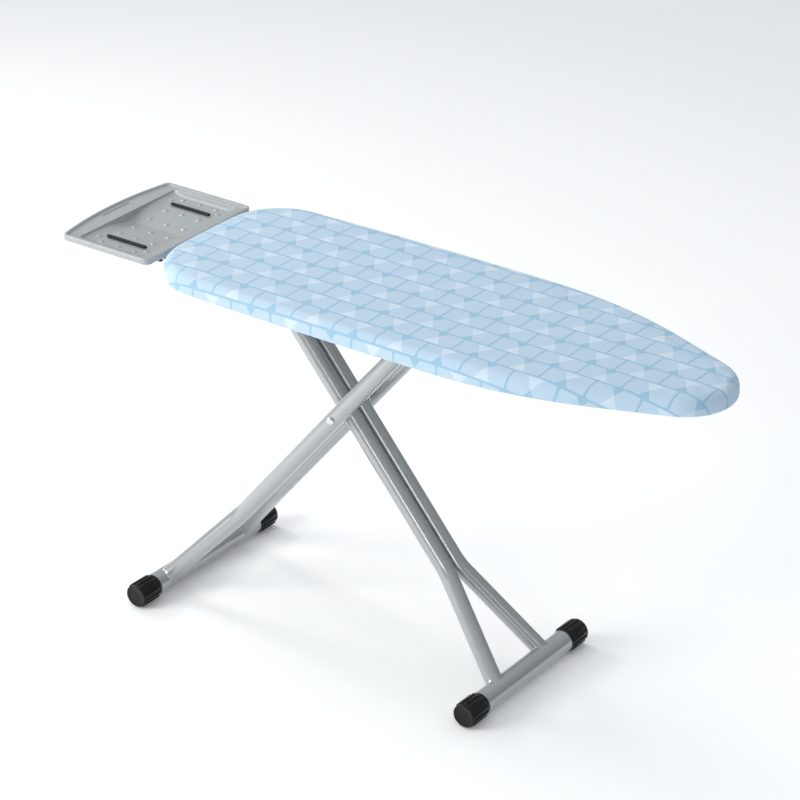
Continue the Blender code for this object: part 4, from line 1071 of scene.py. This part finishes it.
def make_rest_rods():
    for name in SIDES:
        add_piece("support_rod_" + name, *rod(centre_line("rest_rod_" + name, X), WIRE_RADIUS, 32, Y, 0.0008),
                  ["rest_rod_" + name])
    add_piece("support_cross_rod", *rod(centre_line("rest_cross_rod", Y), WIRE_RADIUS, 32, Z, 0.0004),
              ["rest_cross_rod"])


# ---------------------------------------------------------------- studio
def area_light(name, place, target, size, power, colour=(1, 1, 1)):
    data = bpy.data.lights.new(name, "AREA")
    data.shape = "RECTANGLE"
    data.size, data.size_y = size
    data.energy = power
    data.color = colour
    obj = add_object(name, data)
    obj.location = place
    obj.rotation_euler = (Vector(target) - Vector(place)).to_track_quat("-Z", "Y").to_euler()
    obj.visible_camera = False


def make_studio():
    mat, _, shader = new_material("studio_floor", (0.95, 0.95, 0.95), 0.9)
    set_inputs(shader, Emission_Color=(1.0, 1.0, 1.0, 1.0), Emission_Strength=0.08)
    mesh = bpy.data.meshes.new("studio_floor")
    size = 30.0
    corners = [(-size, -size, 0), (size, -size, 0), (size, size, 0), (-size, size, 0)]
    mesh.from_pydata(corners, [], [(0, 1, 2, 3)])
    mesh.materials.append(mat)
    floor = add_object("studio_floor", mesh)
    floor.location.z = -0.0005          # just under the feet

    world = bpy.data.worlds.new("studio_world")
    world.use_nodes = True
    tree = world.node_tree
    parts = tree.nodes.new("ShaderNodeSeparateXYZ")
    tree.links.new(tree.nodes.new("ShaderNodeTexCoord").outputs["Generated"], parts.inputs[0])
    across, height = Field(tree, parts.outputs[0]), Field(tree, parts.outputs[2])
    zenith, sideways, base = 0.58, 0.16, 0.22
    strength = height.calc("MAXIMUM", 0.0) * zenith - across * sideways + base
    background = tree.nodes["Background"]
    set_inputs(background, Color=(0.93, 0.97, 1.0, 1.0))
    tree.links.new(strength.socket, background.inputs["Strength"])
    bpy.context.scene.world = world

    aim = (0.0, 0.0, 0.5)
    area_light("key", (-2.5, -3.3, 2.0), aim, (2.2, 1.4), 116, (1.0, 0.99, 0.96))
    area_light("overhead", (0.0, 0.4, 3.6), aim, (3.0, 2.4), 24)
    area_light("side", (3.6, -1.2, 0.9), (0.0, 0.0, 0.4), (0.35, 1.8), 9, (0.86, 0.93, 1.0))
    area_light("front_strip", (1.6, -3.1, 1.1), (0.0, 0.0, 0.4), (0.20, 1.7), 16)
    rest = middle("rest_tray")
    area_light("rest_back", (-3.5, 0.5, 1.9), rest, (0.9, 0.6), 28)
    area_light("rest_above", (-2.2, 0.8, 3.2), rest, (0.6, 0.6), 4)


def make_camera():
    data = bpy.data.cameras.new("camera")
    data.lens = 144.5
    data.sensor_width = 36.0
    obj = add_object("camera", data)
    obj.location = (3.270, -4.508, 3.350)
    obj.rotation_euler = (math.radians(63.21), 0.0, math.radians(35.98))
    bpy.context.scene.camera = obj
    bpy.context.scene.view_settings.view_transform = "Standard"


# ---------------------------------------------------------------- assembly
make_cover()
make_hem()
make_stitches()
make_pad()
make_mesh_top()
make_rim()
for leg_pair in ("inner", "outer"):
    for leg_side in SIDES:
        make_leg(leg_pair, leg_side)
    make_foot(leg_pair)
make_pivot()
make_pins()
make_lever()
make_rest_tray()
make_rest_strips()
make_rest_rods()
for kept in ("brace_end", "brace_hinge", "brace_latch", "brace_rail", "hinge_bracket", "slide_rail_near",
             "slide_rail_far", "latch_comb"):
    finish_cad(kept)
for clip in ("outer", "inner", "end_brace", "hinge_brace"):
    for leg_side in SIDES:
        finish_cad(f"rest_clip_{clip}_{leg_side}", 0.0012)
make_studio()
make_camera()
